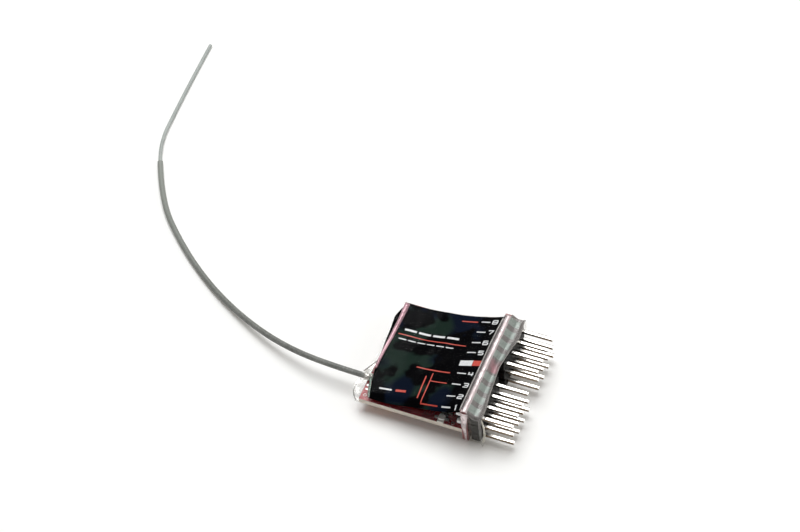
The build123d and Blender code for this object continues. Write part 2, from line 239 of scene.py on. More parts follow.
def make_board_faces():
    # 1 on the two coated faces of a board, which look along Axis, 0 on its cut edges; and the cut's layers
    inputs = {"Axis": (0.0, 0.0, 1.0), "Layer Pitch": 0.0002}
    net, given, result = new_group("board faces", inputs, {"Coated": FLOAT, "Layers": FLOAT})
    true = net.add("ShaderNodeNewGeometry").outputs["True Normal"]
    facing = net.math("ABSOLUTE", net.vector_math("DOT_PRODUCT", true, given["Axis"])["Value"])
    depth = net.vector_math("DOT_PRODUCT", net.place(), given["Axis"])["Value"]
    net.wire(net.spread(facing, 0.5, 0.6), result["Coated"])
    net.wire(net.spread(net.stripes(depth, given["Layer Pitch"]), -1, 1), result["Layers"])
    return net.tree


def make_copper_lines():
    # Tracks that run in parallel in some square cells of a board, and plain copper in others
    net, given, result = new_group("copper lines", {"Pitch": 0.0005, "Cell": 0.002}, {"Copper": FLOAT})
    cells = net.vector_math("FLOOR", net.vector_math("DIVIDE", net.place(), given["Cell"])[0])[0]
    chance = net.add("ShaderNodeTexWhiteNoise", {"Vector": cells}).outputs["Value"]
    parts = net.place_parts()
    lines = [net.spread(net.stripes(parts[axis], given["Pitch"]), 0.0, 0.25) for axis in ("X", "Y")]
    along_y = net.times(lines[0], net.spread(chance, 0.30, 0.31))
    along_x = net.times(lines[1], net.spread(chance, 0.31, 0.30))
    tracks = net.plus(along_y, along_x, clamp=True)
    net.wire(net.math("MAXIMUM", tracks, net.spread(chance, 0.62, 0.63)), result["Copper"])
    return net.tree


def make_creases():
    # Fine shrink creases: thin bright lines where two cells of a warped pattern meet
    inputs = {"Scale": 400.0, "Strength": 0.4, "Depth": 0.00005}
    net, given, result = new_group("shrink creases", inputs, {"Normal": VECTOR, "Crease": FLOAT})
    warp = net.cloud(given["Scale"], 2.0)["Color"]
    shift = net.made("ShaderNodeVectorMath", {0: warp, "Scale": 0.0022}, operation="SCALE")
    moved = net.vector_math("ADD", net.place(), shift)[0]
    inputs = {"Vector": moved, "Scale": given["Scale"], "Smoothness": 0.35}
    height = net.add("ShaderNodeTexVoronoi", inputs, feature="SMOOTH_F1").outputs["Distance"]
    net.wire(net.bumped(height, given["Strength"], given["Depth"]), result["Normal"])
    net.wire(net.spread(height, 0.55, 0.85), result["Crease"])
    return net.tree


def make_cell_touch():
    # 1 where the film lies on the cells of the housings, 0 over the notches; Middle is 1 over the empty place
    inputs = {"Pitch": 0.00254, "Share": 0.6, "Gap": 0.0013, "Front": 0.009}
    net, given, result = new_group("cell touch", inputs, {"Touch": FLOAT, "Middle": FLOAT})
    parts = net.place_parts()
    wave = net.spread(net.stripes(parts["Y"], given["Pitch"], "COSINE"), -1, 1)
    edge = net.minus(1.0, given["Share"])
    touch = net.spread(wave, edge, net.plus(edge, 0.12))
    away = net.math("GREATER_THAN", net.math("ABSOLUTE", parts["Y"]), given["Gap"])
    behind = net.spread(parts["X"], given["Front"], net.minus(given["Front"], 0.00025))
    net.wire(net.times(net.times(touch, away), behind), result["Touch"])
    net.wire(net.minus(1.0, away), result["Middle"])
    return net.tree


mottle = make_mottle()
grain = make_grain()
soft_edges = make_soft_edges()
board_faces = make_board_faces()
copper_lines = make_copper_lines()
creases = make_creases()
cell_touch = make_cell_touch()


# Finishes
edge_radius = 0.00006
grain_depth = 0.00002


def new_finish(name, colour, roughness, **sockets):
    finish = bpy.data.materials.new(name)
    finish.use_nodes = True
    net = Net(finish.node_tree)
    shader = net.tree.nodes["Principled BSDF"].inputs
    net.wire(colour, shader["Base Color"])
    net.wire(roughness, shader["Roughness"])
    for label, value in sockets.items():
        net.wire(value, shader[label.replace("_", " ")])
    return finish, net, shader


def mottled_finish(name, dark, light, smooth, rough, scale, bump, edge_light=0.0, sheared=None, **sockets):
    # A solid finish whose colour and polish drift, with a fine grain and edges lightened partly as wear and
    # partly as a painted highlight; the side colour is a dark painted shade laid on the faces that look along
    # Y
    finish, net, shader = new_finish(name, dark, rough, **sockets)
    drift = net.mottle(scale, 4.0)
    colour = net.mixed(drift, dark, light)
    rounded = net.group(soft_edges, Radius=edge_radius)
    # Edges lightened partly as wear and partly as a painted highlight
    if edge_light:
        wear_and_highlight = [min(1.0, part * 2.2 + 0.05) for part in light]
        colour = net.mixed(net.times(rounded["Edge"], edge_light), colour, wear_and_highlight)
    # Painted shade: the faces that look along Y turn towards the dark side colour
    if sheared:
        sides = net.group(board_faces, Axis=(0, 1, 0))["Coated"]
        colour = net.mixed(net.times(sides, net.spread(drift, 0, 1, 1.0, 0.75)), colour, sheared)
    net.wire(colour, shader["Base Color"])
    net.wire(net.mottle(scale * 2.3, 3.0, smooth, rough), shader["Roughness"])
    fine = net.group(grain, Scale=scale * 6, Strength=bump, Depth=grain_depth, Normal=rounded["Normal"])
    net.wire(fine["Normal"], shader["Normal"])
    return finish


def metal_finish(*look, **more):
    return mottled_finish(*look, Metallic=1.0, **more)


def board_finish(name, axis, mask_colour, copper_colour, edge_colour, edge_dark):
    finish, net, shader = new_finish(name, mask_colour, 0.3, Coat_Weight=0.15, Coat_Roughness=0.12)
    faces = net.group(board_faces, Axis=axis, Layer_Pitch=0.00018)
    copper = net.group(copper_lines, Pitch=0.00055, Cell=0.0021)["Copper"]
    coated = net.mixed(copper, mask_colour, copper_colour)
    layers = net.mixed(net.times(faces["Layers"], net.mottle(1400.0, 4.0)), edge_colour, edge_dark)
    net.wire(net.mixed(faces["Coated"], layers, coated), shader["Base Color"])
    net.wire(net.spread(faces["Coated"], 0, 1, 0.62, 0.24), shader["Roughness"])
    rounded = net.group(soft_edges, Radius=edge_radius)["Normal"]
    height = net.times(copper, faces["Coated"])
    net.wire(net.bumped(height, 0.5, grain_depth, Normal=rounded), shader["Normal"])
    return finish


def cord_finish(name, dark, light, smooth, rough, sheen, far_tone=None):
    # A drawn plastic skin with fine specks; far_tone is the colour that it pales to at the aerial's far side
    finish, net, shader = new_finish(name, dark, rough, Specular_IOR_Level=sheen)
    specks = net.mottle(2600.0, 2.0, 0.0, 0.6)
    share = net.plus(net.times(net.mottle(260.0, 5.0), 0.45), specks, clamp=True)
    colour = net.mixed(share, dark, light)
    if far_tone:
        colour = net.mixed(net.spread(net.place_parts()["Y"], -0.002, 0.029), colour, far_tone)
    net.wire(colour, shader["Base Color"])
    net.wire(net.mottle(1500.0, 2.0, smooth, rough), shader["Roughness"])
    plain = net.add("ShaderNodeNewGeometry").outputs["Normal"]
    fine = net.group(grain, Scale=7000.0, Strength=0.25, Depth=grain_depth, Normal=plain)
    net.wire(fine["Normal"], shader["Normal"])
    return finish


def label_finish(name, black, green, blue):
    # Gloss with clouds of two dark tones, painted reflections in the label's gloss, which stay off the
    # label's ends
    finish, net, shader = new_finish(name, black, 0.2, Specular_IOR_Level=0.01)
    painted_sheen = net.mixed(net.spread(net.mottle(120.0, 1.0), 0.4, 0.6), green, blue)
    along = net.place_parts()["X"]
    share = net.spread(net.mottle(190.0, 2.0), 0.42, 0.62, smooth=True)
    share = net.times(share, net.spread(along, -0.0135, -0.0128))
    share = net.times(share, net.spread(along, 0.0035, 0.0015))
    net.wire(net.mixed(share, black, painted_sheen), shader["Base Color"])
    net.wire(net.mottle(500.0, 3.0, 0.16, 0.30), shader["Roughness"])
    net.wire(net.group(creases, Scale=260.0, Strength=0.12, Depth=0.00008)["Normal"], shader["Normal"])
    return finish


def ink_finish(name, colour, pale):
    finish, net, shader = new_finish(name, colour, 0.4)
    net.wire(net.mixed(net.mottle(4200.0, 3.0), colour, pale), shader["Base Color"])
    net.wire(net.mottle(2500.0, 2.0, 0.32, 0.5), shader["Roughness"])
    return finish


usual_film = {"least": 0.04, "creased": 0.55, "crease_haze": 0.0, "stripes": 0.0, "metal": 0.55}


def film_finish(name, colour, haze, gloss, rough, **changes):
    # Thin clear film: it lets light straight through and mirrors more of it towards a grazing view
    look = {**usual_film, **changes}
    finish, net, shader = new_finish(name, colour, rough, Metallic=look["metal"])
    folds = net.group(creases, Scale=520.0, Strength=look["creased"], Depth=0.0001)
    facing = net.add("ShaderNodeLayerWeight", {"Blend": 0.5, "Normal": folds["Normal"]}).outputs["Facing"]
    mirror = net.plus(net.times(net.math("POWER", facing, 4.0), 0.9), look["least"])
    share = net.plus(net.times(mirror, gloss), haze)
    if look["crease_haze"]:
        share = net.plus(share, net.times(folds["Crease"], look["crease_haze"]), clamp=True)
    if look["stripes"]:
        # Painted sheen: a lighter grey-green where the film lies flat on the cells; over the empty place a
        # rosy painted reflection of the red header board
        cells = net.group(cell_touch, Pitch=pitch * MM, Share=0.70, Gap=1.30 * MM, Front=9.15 * MM)
        share = net.plus(share, net.times(cells["Touch"], look["stripes"]), clamp=True)
        painted_board_reflection = net.mixed(net.mottle(700.0, 2.0), (0.26, 0.22, 0.22), (0.50, 0.27, 0.30))
        between = net.mixed(cells["Middle"], (0.27, 0.25, 0.245), painted_board_reflection)
        net.wire(net.mixed(cells["Touch"], between, colour), shader["Base Color"])
    net.wire(share, shader["Alpha"])
    net.wire(net.mottle(900.0, 2.0, rough * 0.6, rough * 1.4), shader["Roughness"])
    net.wire(folds["Normal"], shader["Normal"])
    return finish


red_mask, red_copper, shaded_copper = (0.13, 0.002, 0.006), (0.32, 0.008, 0.014), (0.20, 0.005, 0.010)
bare_edge, bare_layer = (0.74, 0.67, 0.58), (0.50, 0.41, 0.36)
# The standing board's cut edges are dark red, painted shade in place of the lying board's pale edges
shaded_edge, shaded_layer = (0.36, 0.15, 0.15), (0.20, 0.05, 0.06)
lying_board = board_finish("red board, lying", (0, 0, 1), red_mask, red_copper, bare_edge, bare_layer)
standing_board = board_finish("red board, standing", (1, 0, 0), red_mask, shaded_copper, shaded_edge, shaded_layer)

# Solid finishes: dark and light tone, smoothest and roughest polish, scale of the mottle, and grain
moulding_dark, moulding_light = (0.005, 0.005, 0.006), (0.010, 0.010, 0.011)
# Its edges are lightened, partly as a painted highlight
moulding = mottled_finish(
    "black moulding", moulding_dark, moulding_light, 0.4, 0.6, 900, 0.3, 0.5, Specular_IOR_Level=0.07
)
epoxy_dark, epoxy_light = (0.020, 0.020, 0.022), (0.034, 0.034, 0.036)
chip_black = mottled_finish("moulded epoxy", epoxy_dark, epoxy_light, 0.5, 0.7, 2500, 0.5, 0.1)
pale_ceramic = mottled_finish("white ceramic", (0.66, 0.64, 0.60), (0.78, 0.76, 0.72), 0.4, 0.6, 2500, 0.2)
brown_ceramic = mottled_finish("tan ceramic", (0.30, 0.19, 0.11), (0.40, 0.27, 0.16), 0.35, 0.55, 3000, 0.2)
glaze_dark, glaze_light = (0.018, 0.018, 0.020), (0.04, 0.04, 0.042)
black_ceramic = mottled_finish("black glaze", glaze_dark, glaze_light, 0.2, 0.35, 3000, 0.15)
amber_dark, amber_light = (0.66, 0.38, 0.05), (0.78, 0.48, 0.09)
yellow_moulding = mottled_finish("yellow moulding", amber_dark, amber_light, 0.38, 0.55, 2200, 0.3)
ferrite = mottled_finish("ferrite", (0.05, 0.05, 0.052), (0.09, 0.09, 0.092), 0.55, 0.8, 3000, 0.6)
# The pins' third tone is a dark brown painted shade for their faces that look along Y
pin_dark, pin_light, pin_side_shade = (0.84, 0.80, 0.74), (0.95, 0.94, 0.92), (0.20, 0.13, 0.07)
pin_metal = metal_finish("plated pins", pin_dark, pin_light, 0.12, 0.22, 700, 0.03, sheared=pin_side_shade)
solder = metal_finish("solder", (0.40, 0.40, 0.41), (0.62, 0.62, 0.62), 0.2, 0.42, 1800, 0.35)
lead_metal = metal_finish("tinned leads", (0.60, 0.60, 0.59), (0.76, 0.75, 0.73), 0.25, 0.45, 2500, 0.2)
can_metal = metal_finish("pressed can", (0.62, 0.61, 0.58), (0.74, 0.73, 0.70), 0.28, 0.42, 1500, 0.15)
copper_core = metal_finish("copper core", (0.62, 0.27, 0.13), (0.78, 0.38, 0.20), 0.2, 0.4, 2500, 0.2)

jacket_dark, jacket_light, jacket_far = (0.095, 0.098, 0.091), (0.235, 0.240, 0.225), (0.27, 0.285, 0.265)
jacket_grey = cord_finish("grey cable jacket", jacket_dark, jacket_light, 0.38, 0.55, 0.4, jacket_far)
tip_grey = cord_finish("inner insulation", (0.31, 0.335, 0.325), (0.42, 0.45, 0.435), 0.3, 0.45, 0.5)
# Dark green and blue painted reflections, for the clouds on the label
painted_sheen_green, painted_sheen_blue = (0.010, 0.021, 0.016), (0.003, 0.006, 0.015)
label_black = label_finish("black label", (0.001, 0.001, 0.0015), painted_sheen_green, painted_sheen_blue)
white_ink = ink_finish("white ink", (0.62, 0.64, 0.66), (0.80, 0.81, 0.82))
red_ink = ink_finish("red ink", (0.50, 0.045, 0.030), (0.62, 0.085, 0.055))

# Films: tone, haze, gloss and roughness, then what differs from the usual film
clear = (0.93, 0.94, 0.94)
clear_film = film_finish("clear film, over the label", clear, 0.0, 0.14, 0.08, least=0.006, creased=0.12)
side_film = film_finish("clear film, down the sides", clear, 0.0, 0.12, 0.12, least=0.01, creased=0.4)
# The film over the housings carries a painted sheen over the cells
painted_cell_sheen, header_look = (0.30, 0.34, 0.315), {"creased": 0.2, "stripes": 0.22, "metal": 0.1}
header_film = film_finish("clear film, over the housings", painted_cell_sheen, 0.60, 0.3, 0.30, **header_look)
end_look = {"least": 0.01, "creased": 0.3, "metal": 0.1}
end_film = film_finish("clear film, on the housings' ends", (0.50, 0.48, 0.44), 0.05, 0.3, 0.25, **end_look)
fringe_film = film_finish("clear film, shrunk ends", (0.95, 0.94, 0.91), 0.02, 0.6, 0.14, crease_haze=0.12)
ridge_look = {"crease_haze": 0.5, "metal": 0.4}
ridge_film = film_finish("film over the board's edge", (0.82, 0.71, 0.72), 0.50, 0.8, 0.36, **ridge_look)
# The film's slope up to the board's edge is dark grey, as painted shade
slope_look = {"creased": 0.5, "crease_haze": 0.2, "metal": 0.3}
shaded_slope_film = film_finish("film beside the board's edge", (0.22, 0.195, 0.20), 0.55, 0.8, 0.22, **slope_look)
# Thin pale folds at the film's edges, pale as painted highlights
edge_look = {"creased": 0.3, "crease_haze": 0.3, "metal": 0.2}
edge_highlight_film = film_finish("folded edge of the film", (0.50, 0.48, 0.46), 0.55, 0.3, 0.30, **edge_look)
green_look = {"creased": 0.4, "metal": 0.3}
green_film = film_finish("film over the label's edge", (0.17, 0.22, 0.19), 0.60, 0.8, 0.2, **green_look)
# A pink fold on the label's bent end: its pink is a painted highlight
pink_look = {"creased": 0.5, "crease_haze": 0.35, "metal": 0.4}
pink_highlight_film = film_finish("film over the label's bent end, pink highlight", (0.67, 0.41, 0.47), 0.50, 0.9, 0.24, **pink_look)
web_film = film_finish("clear film, stretched", (0.95, 0.92, 0.86), 0.22, 0.8, 0.14, crease_haze=0.3)
hem_film = film_finish("hem of the film", (0.20, 0.19, 0.18), 0.70, 0.3, 0.3, creased=0.1, metal=0.1)
curl_look = {"creased": 0.3, "crease_haze": 0.3, "metal": 0.25}
curl_film = film_finish("clear film, curled", (0.97, 0.94, 0.84), 0.42, 0.8, 0.2, **curl_look)
clear_lens = film_finish("clear lens", (0.93, 0.93, 0.92), 0.88, 0.9, 0.12, creased=0.0, metal=0.0)


# Meshes
def cleaned(mesh, distance):
    # Doubles merged and all faces turned outwards
    work = bmesh.new()
    work.from_mesh(mesh)
    bmesh.ops.remove_doubles(work, verts=work.verts, dist=distance)
    bmesh.ops.recalc_face_normals(work, faces=work.faces)
    work.to_mesh(mesh)
    work.free()
    return mesh


def new_piece(name, points, faces):
    # Points in millimetres
    mesh = bpy.data.meshes.new(name)
    mesh.from_pydata([tuple(float(part) * MM for part in point) for point in points], [], faces)
    mesh.update()
    cleaned(mesh, 1e-7)
    mesh.polygons.foreach_set("use_smooth", [True] * len(mesh.polygons))
    return new_object(name, mesh)


def name_piece(piece, slot, *replaced):
    # The slot of its finish, which is not used, and the CAD nodes that it stands for, which are hidden
    if replaced:
        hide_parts(*replaced)


def finish_piece(piece, finish, slot, *replaced):
    piece.data.materials.clear()
    piece.data.materials.append(finish)
    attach(piece, "root")
    name_piece(piece, slot, *replaced)
    return piece


def bevelled(piece, width, segments=2):
    cut = piece.modifiers.new("rounded edges", "BEVEL")
    cut.width = width * MM
    cut.segments = segments
    cut.limit_method = "ANGLE"
    cut.angle_limit = radians(35)
    cut.harden_normals = True
    return piece


def walled(piece):
    # Gives a surface the thickness of a fold
    wall = piece.modifiers.new("wall", "SOLIDIFY")
    wall.thickness = fold_thickness * MM
    wall.offset = 0
    return piece


def sheet_solid(name, top, thickness):
    # A closed sheet from a grid of points on its upper face
    rows, columns = len(top), len(top[0])
    points = [point for row in top for point in row]
    points += [(x, y, z - thickness) for row in top for x, y, z in row]
    lower = rows * columns
    faces = []
    for row in range(rows - 1):
        for column in range(columns - 1):
            a = row * columns + column
            b, c, d = a + 1, a + columns + 1, a + columns
            faces += [(a, b, c, d), (lower + d, lower + c, lower + b, lower + a)]
    rim = list(range(columns))
    rim += [row * columns + columns - 1 for row in range(1, rows)]
    rim += [(rows - 1) * columns + column for column in range(columns - 2, -1, -1)]
    rim += [row * columns for row in range(rows - 2, 0, -1)]
    for a, b in zip(rim, rim[1:] + rim[:1]):
        faces.append((b, a, lower + a, lower + b))
    return new_piece(name, points, faces)


def tube_faces(loops, around, closed):
    # Faces between rings of points; a closed tube also joins its last ring to its first
    faces = []
    for loop in range(loops if closed else loops - 1):
        here, there = loop * around, (loop + 1) % loops * around
        for index in range(around):
            after = (index + 1) % around
            faces.append((here + index, here + after, there + after, there + index))
    return faces


# Curves that the label and the film follow
def smooth_step(value):
    value = min(1.0, max(0.0, value))
    return value * value * (3 - 2 * value)


def read(place, table):
    # The value at a place from a table of places and values, straight between them
    return float(np.interp(place, *zip(*table)))


def along_path(path, ys):
    # Rows of a path whose first number is y, read at ys
    known, *others = zip(*sorted(path))
    return [[y] + [float(np.interp(y, known, values)) for values in others] for y in ys]


def wobble(*place):
    return noise.noise(Vector(place))


# Label: a black sheet that sags from the header board's edge and bends down at the aerial end
near_edge_drops = [(-12.4, 0.55), (-9.0, 0.90), (3.2, 0.75), (5.8, 0.25)]
label_ends = [(-11.35, -12.2), (-8.0, -12.9), (-5.5, -13.5), (-3.0, -13.75)]
label_ends += [(3.6, -14.3), (7.3, -14.7), (9.4, -13.9), (10.2, -13.3)]
# Its middle line at the near and the far edge: low end, rise to the header board and how late it rises
near_low, near_rise, near_curve = 4.90, 3.90, 1.45
far_low, far_rise, far_curve = 4.95, 3.95, 2.4
label_span, label_widening = 21.55, 0.5
bend_start, bend_depth = -12.9, 0.26
hang_start, hang_width = -10.0, 1.35


def ripple(x, y):
    # Gentle waves in the label and the film over it
    wide = wobble(x * 0.26 + 7.3, y * 0.24, 1.7)
    fine = wobble(x * 0.75, y * 0.60 + 4.1, 5.2)
    held = min(1.0, max(0.0, (5.7 - x) / 2.5))
    return (0.20 * wide + 0.045 * fine) * held


def label_share(x):
    # How far along the label x lies, from its low end to the header board
    return min(1.0, max(0.0, (x - label_left) / label_length))


def label_height(x, y):
    share = label_share(x)
    near = near_low + near_rise * share**near_curve
    far = far_low + far_rise * share**far_curve
    side = (y - label_near) / (label_span + label_widening * share)
    bend = bend_depth * max(0.0, bend_start - x) ** 1.3
    # The near edge hangs down towards the board
    hang = smooth_step((hang_start - y) / hang_width) * read(x, near_edge_drops)
    return near + (far - near) * side + ripple(x, y) - (bend + hang)


label_rows = []
for across_share in np.linspace(0, 1, 60):
    row = []
    for along_share in np.linspace(0, 1, 72):
        y = label_near + across_share * (21.75 + 0.35 * along_share)
        end_x = read(y, label_ends)
        x = end_x + along_share * (header_back - end_x)
        row.append((x, y, label_height(x, y)))
    label_rows.append(row)
label = sheet_solid("printed_label", label_rows, label_thickness)
finish_piece(label, label_black, "label", "label_sheet")


# Print on the label: plain numbers for the channels, plain lines and fields
print_lift = 0.014


def on_label(x, y):
    return (x, y, label_height(x, y) + print_lift)


def ribbon(path, width, step=0.25):
    # A flat stroke along a path on the label, with mitred corners; the path is in label x and y
    path = [np.array(point, float) for point in path]
    fine = [path[0]]
    for start, end in zip(path, path[1:]):
        count = max(1, int(np.ceil(np.linalg.norm(end - start) / step)))
        fine += [start + (end - start) * index / count for index in range(1, count + 1)]
    points = []
    for index, point in enumerate(fine):
        before = fine[index] - fine[index - 1] if index else fine[1] - fine[0]
        after = fine[index + 1] - fine[index] if index < len(fine) - 1 else before
        before, after = before / np.linalg.norm(before), after / np.linalg.norm(after)
        mean = (before + after) / np.linalg.norm(before + after)
        normal = np.array([-mean[1], mean[0]]) * width / 2 / max(0.4, float(mean @ before))
        points += [on_label(*(point + normal)), on_label(*(point - normal))]
    faces = [(2 * index, 2 * index + 1, 2 * index + 3, 2 * index + 2) for index in range(len(fine) - 1)]
    return points, faces


def dashes(start, end, width, count, filled):
    # A broken line: count dashes, each filling a share of its step
    start, end = np.array(start), np.array(end)
    step = (end - start) / count
    return [ribbon([start + step * index, start + step * (index + filled)], width) for index in range(count)]


# Strokes of the numbers in a box one unit wide and one unit high, wide and square with cut corners
digit_strokes = {
    1: [[(0.35, 0.82), (0.55, 1), (0.55, 0)]],
    2: [[(0, 1), (0.85, 1), (1, 0.88), (1, 0.58), (0.85, 0.48), (0.1, 0.44), (0, 0.34), (0, 0), (1, 0)]],
    3: [[(0, 1), (0.88, 1), (1, 0.88), (1, 0.12), (0.88, 0), (0, 0)], [(0.25, 0.5), (0.97, 0.5)]],
    4: [[(0, 1), (0, 0.42), (1, 0.42)], [(0.78, 1), (0.78, 0)]],
    5: [[(1, 1), (0, 1), (0, 0.54), (0.86, 0.54), (1, 0.42), (1, 0.12), (0.86, 0), (0, 0)]],
    6: [
        [(0.95, 1), (0.12, 1), (0, 0.88), (0, 0.12), (0.12, 0)]
        + [(0.88, 0), (1, 0.12), (1, 0.42), (0.88, 0.52), (0.03, 0.52)]
    ],
    7: [[(0, 1), (1, 1), (1, 0.82), (0.45, 0)]],
    8: [
        [(0.12, 0), (0, 0.12), (0, 0.88), (0.12, 1), (0.88, 1), (1, 0.88), (1, 0.12), (0.88, 0), (0.12, 0)],
        [(0.03, 0.51), (0.97, 0.51)],
    ],
}
digit_left, digit_width, digit_height, digit_stroke = 4.12, 0.92, 0.84, 0.22
channel_middles = [-10.62, -8.15, -5.47, -2.85, 2.10, 4.48, 6.95, 9.41]


def digit(number, bottom):
    parts = []
    for strokes in digit_strokes[number]:
        path = [(digit_left + x * digit_width, bottom + y * digit_height) for x, y in strokes]
        parts.append(ribbon(path, digit_stroke, 0.2))
    return parts


def printed(name, parts, ink):
    points, faces = [], []
    for part_points, part_faces in parts:
        faces += [tuple(len(points) + index for index in face) for face in part_faces]
        points += part_points
    finish_piece(new_piece(name, points, faces), ink, "label")


white_parts = []
for channel, middle in enumerate(channel_middles, start=1):
    white_parts += digit(channel, middle - digit_height / 2)
    white_parts += [ribbon([(1.85, middle), (3.6, middle)], 0.24)]
white_parts += dashes((-11.55, 4.60), (-0.40, 4.82), 0.46, 4, 0.84)
white_parts += dashes((-11.9, 2.38), (-0.75, 2.62), 0.22, 6, 0.80)
white_parts.append(ribbon([(-11.1, -9.05), (-8.7, -8.90)], 0.34))
white_parts.append(ribbon([(1.42, -0.50), (3.9, -0.38)], 1.25))
red_parts = [
    ribbon([(-12.35, 3.36), (1.05, 3.52)], 0.20),
    ribbon([(-2.62, -3.6), (-2.28, -10.62), (1.04, -10.60)], 0.20),
    ribbon([(-2.54, -5.38), (0.85, -5.46)], 0.20),
    ribbon([(-6.2, -2.86), (0.5, -3.02)], 0.24),
    ribbon([(-3.66, -4.4), (-3.28, -9.8)], 0.24),
    ribbon([(-1.95, 9.16), (1.15, 9.32)], 0.24),
    ribbon([(-7.95, -8.83), (-5.95, -8.72)], 0.50),
    ribbon([(3.95, -0.38), (5.5, -0.30)], 1.20),
]
printed("label_white_print", white_parts, white_ink)
printed("label_red_print", red_parts, red_ink)


# Clear sleeve: one tube of film, shrunk over the label, the boards and the header housings.
# Where it ends at the aerial: furthest out beside the cable, short over the label's end
mouth_xs = [(-11.5, -15.1), (-10.6, -15.7), (-9.4, -16.1), (-8.2, -15.9), (-6.8, -15.4)]
mouth_xs += [(-5.2, -15.2), (-3.0, -14.7), (0.0, -14.75), (9.0, -14.95), (11.5, -14.5)]
# Where it ends past the housings: drawn back over the empty place between them
lip_xs = [(-11.5, 9.95), (-8.9, 9.85), (-6.4, 9.45), (-3.0, 9.15)]
lip_xs += [(0.3, 8.85), (3.9, 9.3), (7.6, 9.98), (11.0, 9.65)]
aerial_y, aerial_z = -6.8, 3.95
mouth_x, lip_x = -15.4, 9.7
film_lift = 0.03
film_wall = 0.09
mouth_start, mouth_length, mouth_height = -13.4, 1.8, 4.0
cable_rise, cable_reach = 0.75, 1.3
floor_narrow, far_corner_low, far_corner_drop = 9.1, 3.55, 0.2
segment_counts = [10, 6, 36, 6, 16, 6, 64]


def sleeve_top(x, y):
    # Height of the film's inner face over the object
    if x < header_back:
        height = label_height(x, y) + film_lift
        if x < mouth_start:
            mouth = mouth_height + cable_rise * np.exp(-(((y - aerial_y) / cable_reach) ** 2))
            height += (mouth - height) * smooth_step((mouth_start - x) / mouth_length)
        return height
    if x < header_front:
        crown = sin(pi * (x - header_back) / (header_front - header_back))
        return header_top + film_lift + 0.10 * crown
    fall = smooth_step((x - header_front) / 1.3)
    return header_top + film_lift - fall * (header_top - block_top)


def sleeve_section(x):
    # Inner corners from near top round by the underside to far top, as (y, z)
    share = label_share(x)
    far_top = min(half_width, 10.5 + 0.5 * share + 0.5 * smooth_step((x - header_back + 1.5) / 1.5))
    floor_half = floor_narrow + (half_width - floor_narrow) * share
    floor = 0.15 + 1.9 * smooth_step((-12.6 - x) / 1.7)
    far_high = far_corner_low + (header_top - far_corner_drop - far_corner_low) * share**far_curve
    if x > header_front:
        far_high = sleeve_top(x, 0) - far_corner_drop
    side = half_width + film_lift
    return [
        (-half_width, sleeve_top(x, -half_width)),
        (-side, board_bottom),
        (-floor_half, floor),
        (floor_half, floor),
        (side, board_bottom),
        (side, far_high),
        (far_top, sleeve_top(x, far_top)),
    ]


def sleeve_ring(x):
    corners = sleeve_section(x)
    ring = []
    for (start, end), count in zip(zip(corners, corners[1:] + corners[:1]), segment_counts):
        for index in range(count):
            part = index / count
            ring.append([start[0] + (end[0] - start[0]) * part, start[1] + (end[1] - start[1]) * part])
    for point in ring[-segment_counts[-1] + 1:]:
        point[1] = sleeve_top(x, point[0])
    return np.array(ring)


def crinkle(x, y, z):
    # Shrink wrinkles: strong in the loose ends, faint where the film is stretched over something
    end = max(smooth_step((-13.2 - x) / 1.6), smooth_step((x - 9.2) / 0.5))
    value = wobble(x * 1.1, y * 1.3, z * 1.3)
    ridged = abs(wobble(x * 0.9 + 3.0, y * 2.1, z * 2.1))
    return (0.10 + 0.9 * end) * (0.26 * value + 0.20 * ridged)


def ring_points(x):
    # The film's inner and outer points at x, with its wrinkles and its uneven ends
    ring = sleeve_ring(x)
    ring = 0.5 * ring + 0.25 * (np.roll(ring, -1, 0) + np.roll(ring, 1, 0))
    tangent = np.roll(ring, -1, 0) - np.roll(ring, 1, 0)
    tangent /= np.linalg.norm(tangent, axis=1)[:, None]
    normal = np.stack([-tangent[:, 1], tangent[:, 0]], 1)
    if (normal * ring).sum() < 0:
        normal = -normal
    inner, outer = [], []
    for (y, z), out in zip(ring, normal):
        wave = 0.16 * wobble(y * 0.9, z * 0.9, 2.0)
        reach = (read(y, mouth_xs) - mouth_x + wave) * smooth_step((-14.0 - x) / 1.4)
        if x > block_back:
            reach += (read(y, lip_xs) - lip_x) * (x - block_back) / (lip_x - block_back)
        flare = 0.22 * smooth_step((x - 9.1) / 0.6)
        shift = film_lift + max(-0.02, crinkle(x, y, z)) + flare
        inner.append((x + reach, y + out[0] * shift, max(0.04, z + out[1] * shift)))
        shift += film_wall
        outer.append((x + reach, y + out[0] * shift, max(0.0, z + out[1] * shift)))
    return inner, outer


ring_xs = list(np.linspace(mouth_x, -12.4, 22)) + list(np.linspace(-12.2, 5.6, 72))
ring_xs += [5.80, header_back, 6.1, 6.475, 6.9, 7.03, header_front, 7.2, 7.35, 7.5]
ring_xs += [block_back, 7.9, 8.3, 8.7, 9.1, block_front, 9.4, 9.5, 9.6, lip_x]
inner_rings, outer_rings = zip(*[ring_points(x) for x in ring_xs])
rings = outer_rings + inner_rings[::-1]
film_faces = tube_faces(len(rings), len(rings[0]), closed=True)
film = new_piece("clear_sleeve", [point for ring in rings for point in ring], film_faces)
finish_piece(film, clear_film, "clear_film", "heat_shrink_sleeve")
on_side, on_top, loose_end, on_end = 1, 2, 3, 4
for finish in (side_film, header_film, fringe_film, end_film):
    film.data.materials.append(finish)
for face in film.data.polygons:
    x, y, z = face.center / MM
    if x < -14.1 or (x > 9.25 and z < block_top - 0.3):
        face.material_index = loose_end
    elif x > header_front and z > block_top - 0.3:
        face.material_index = on_top
    elif abs(y) > 11.3 or z < 1.0:
        face.material_index = on_end if x > header_front else on_side


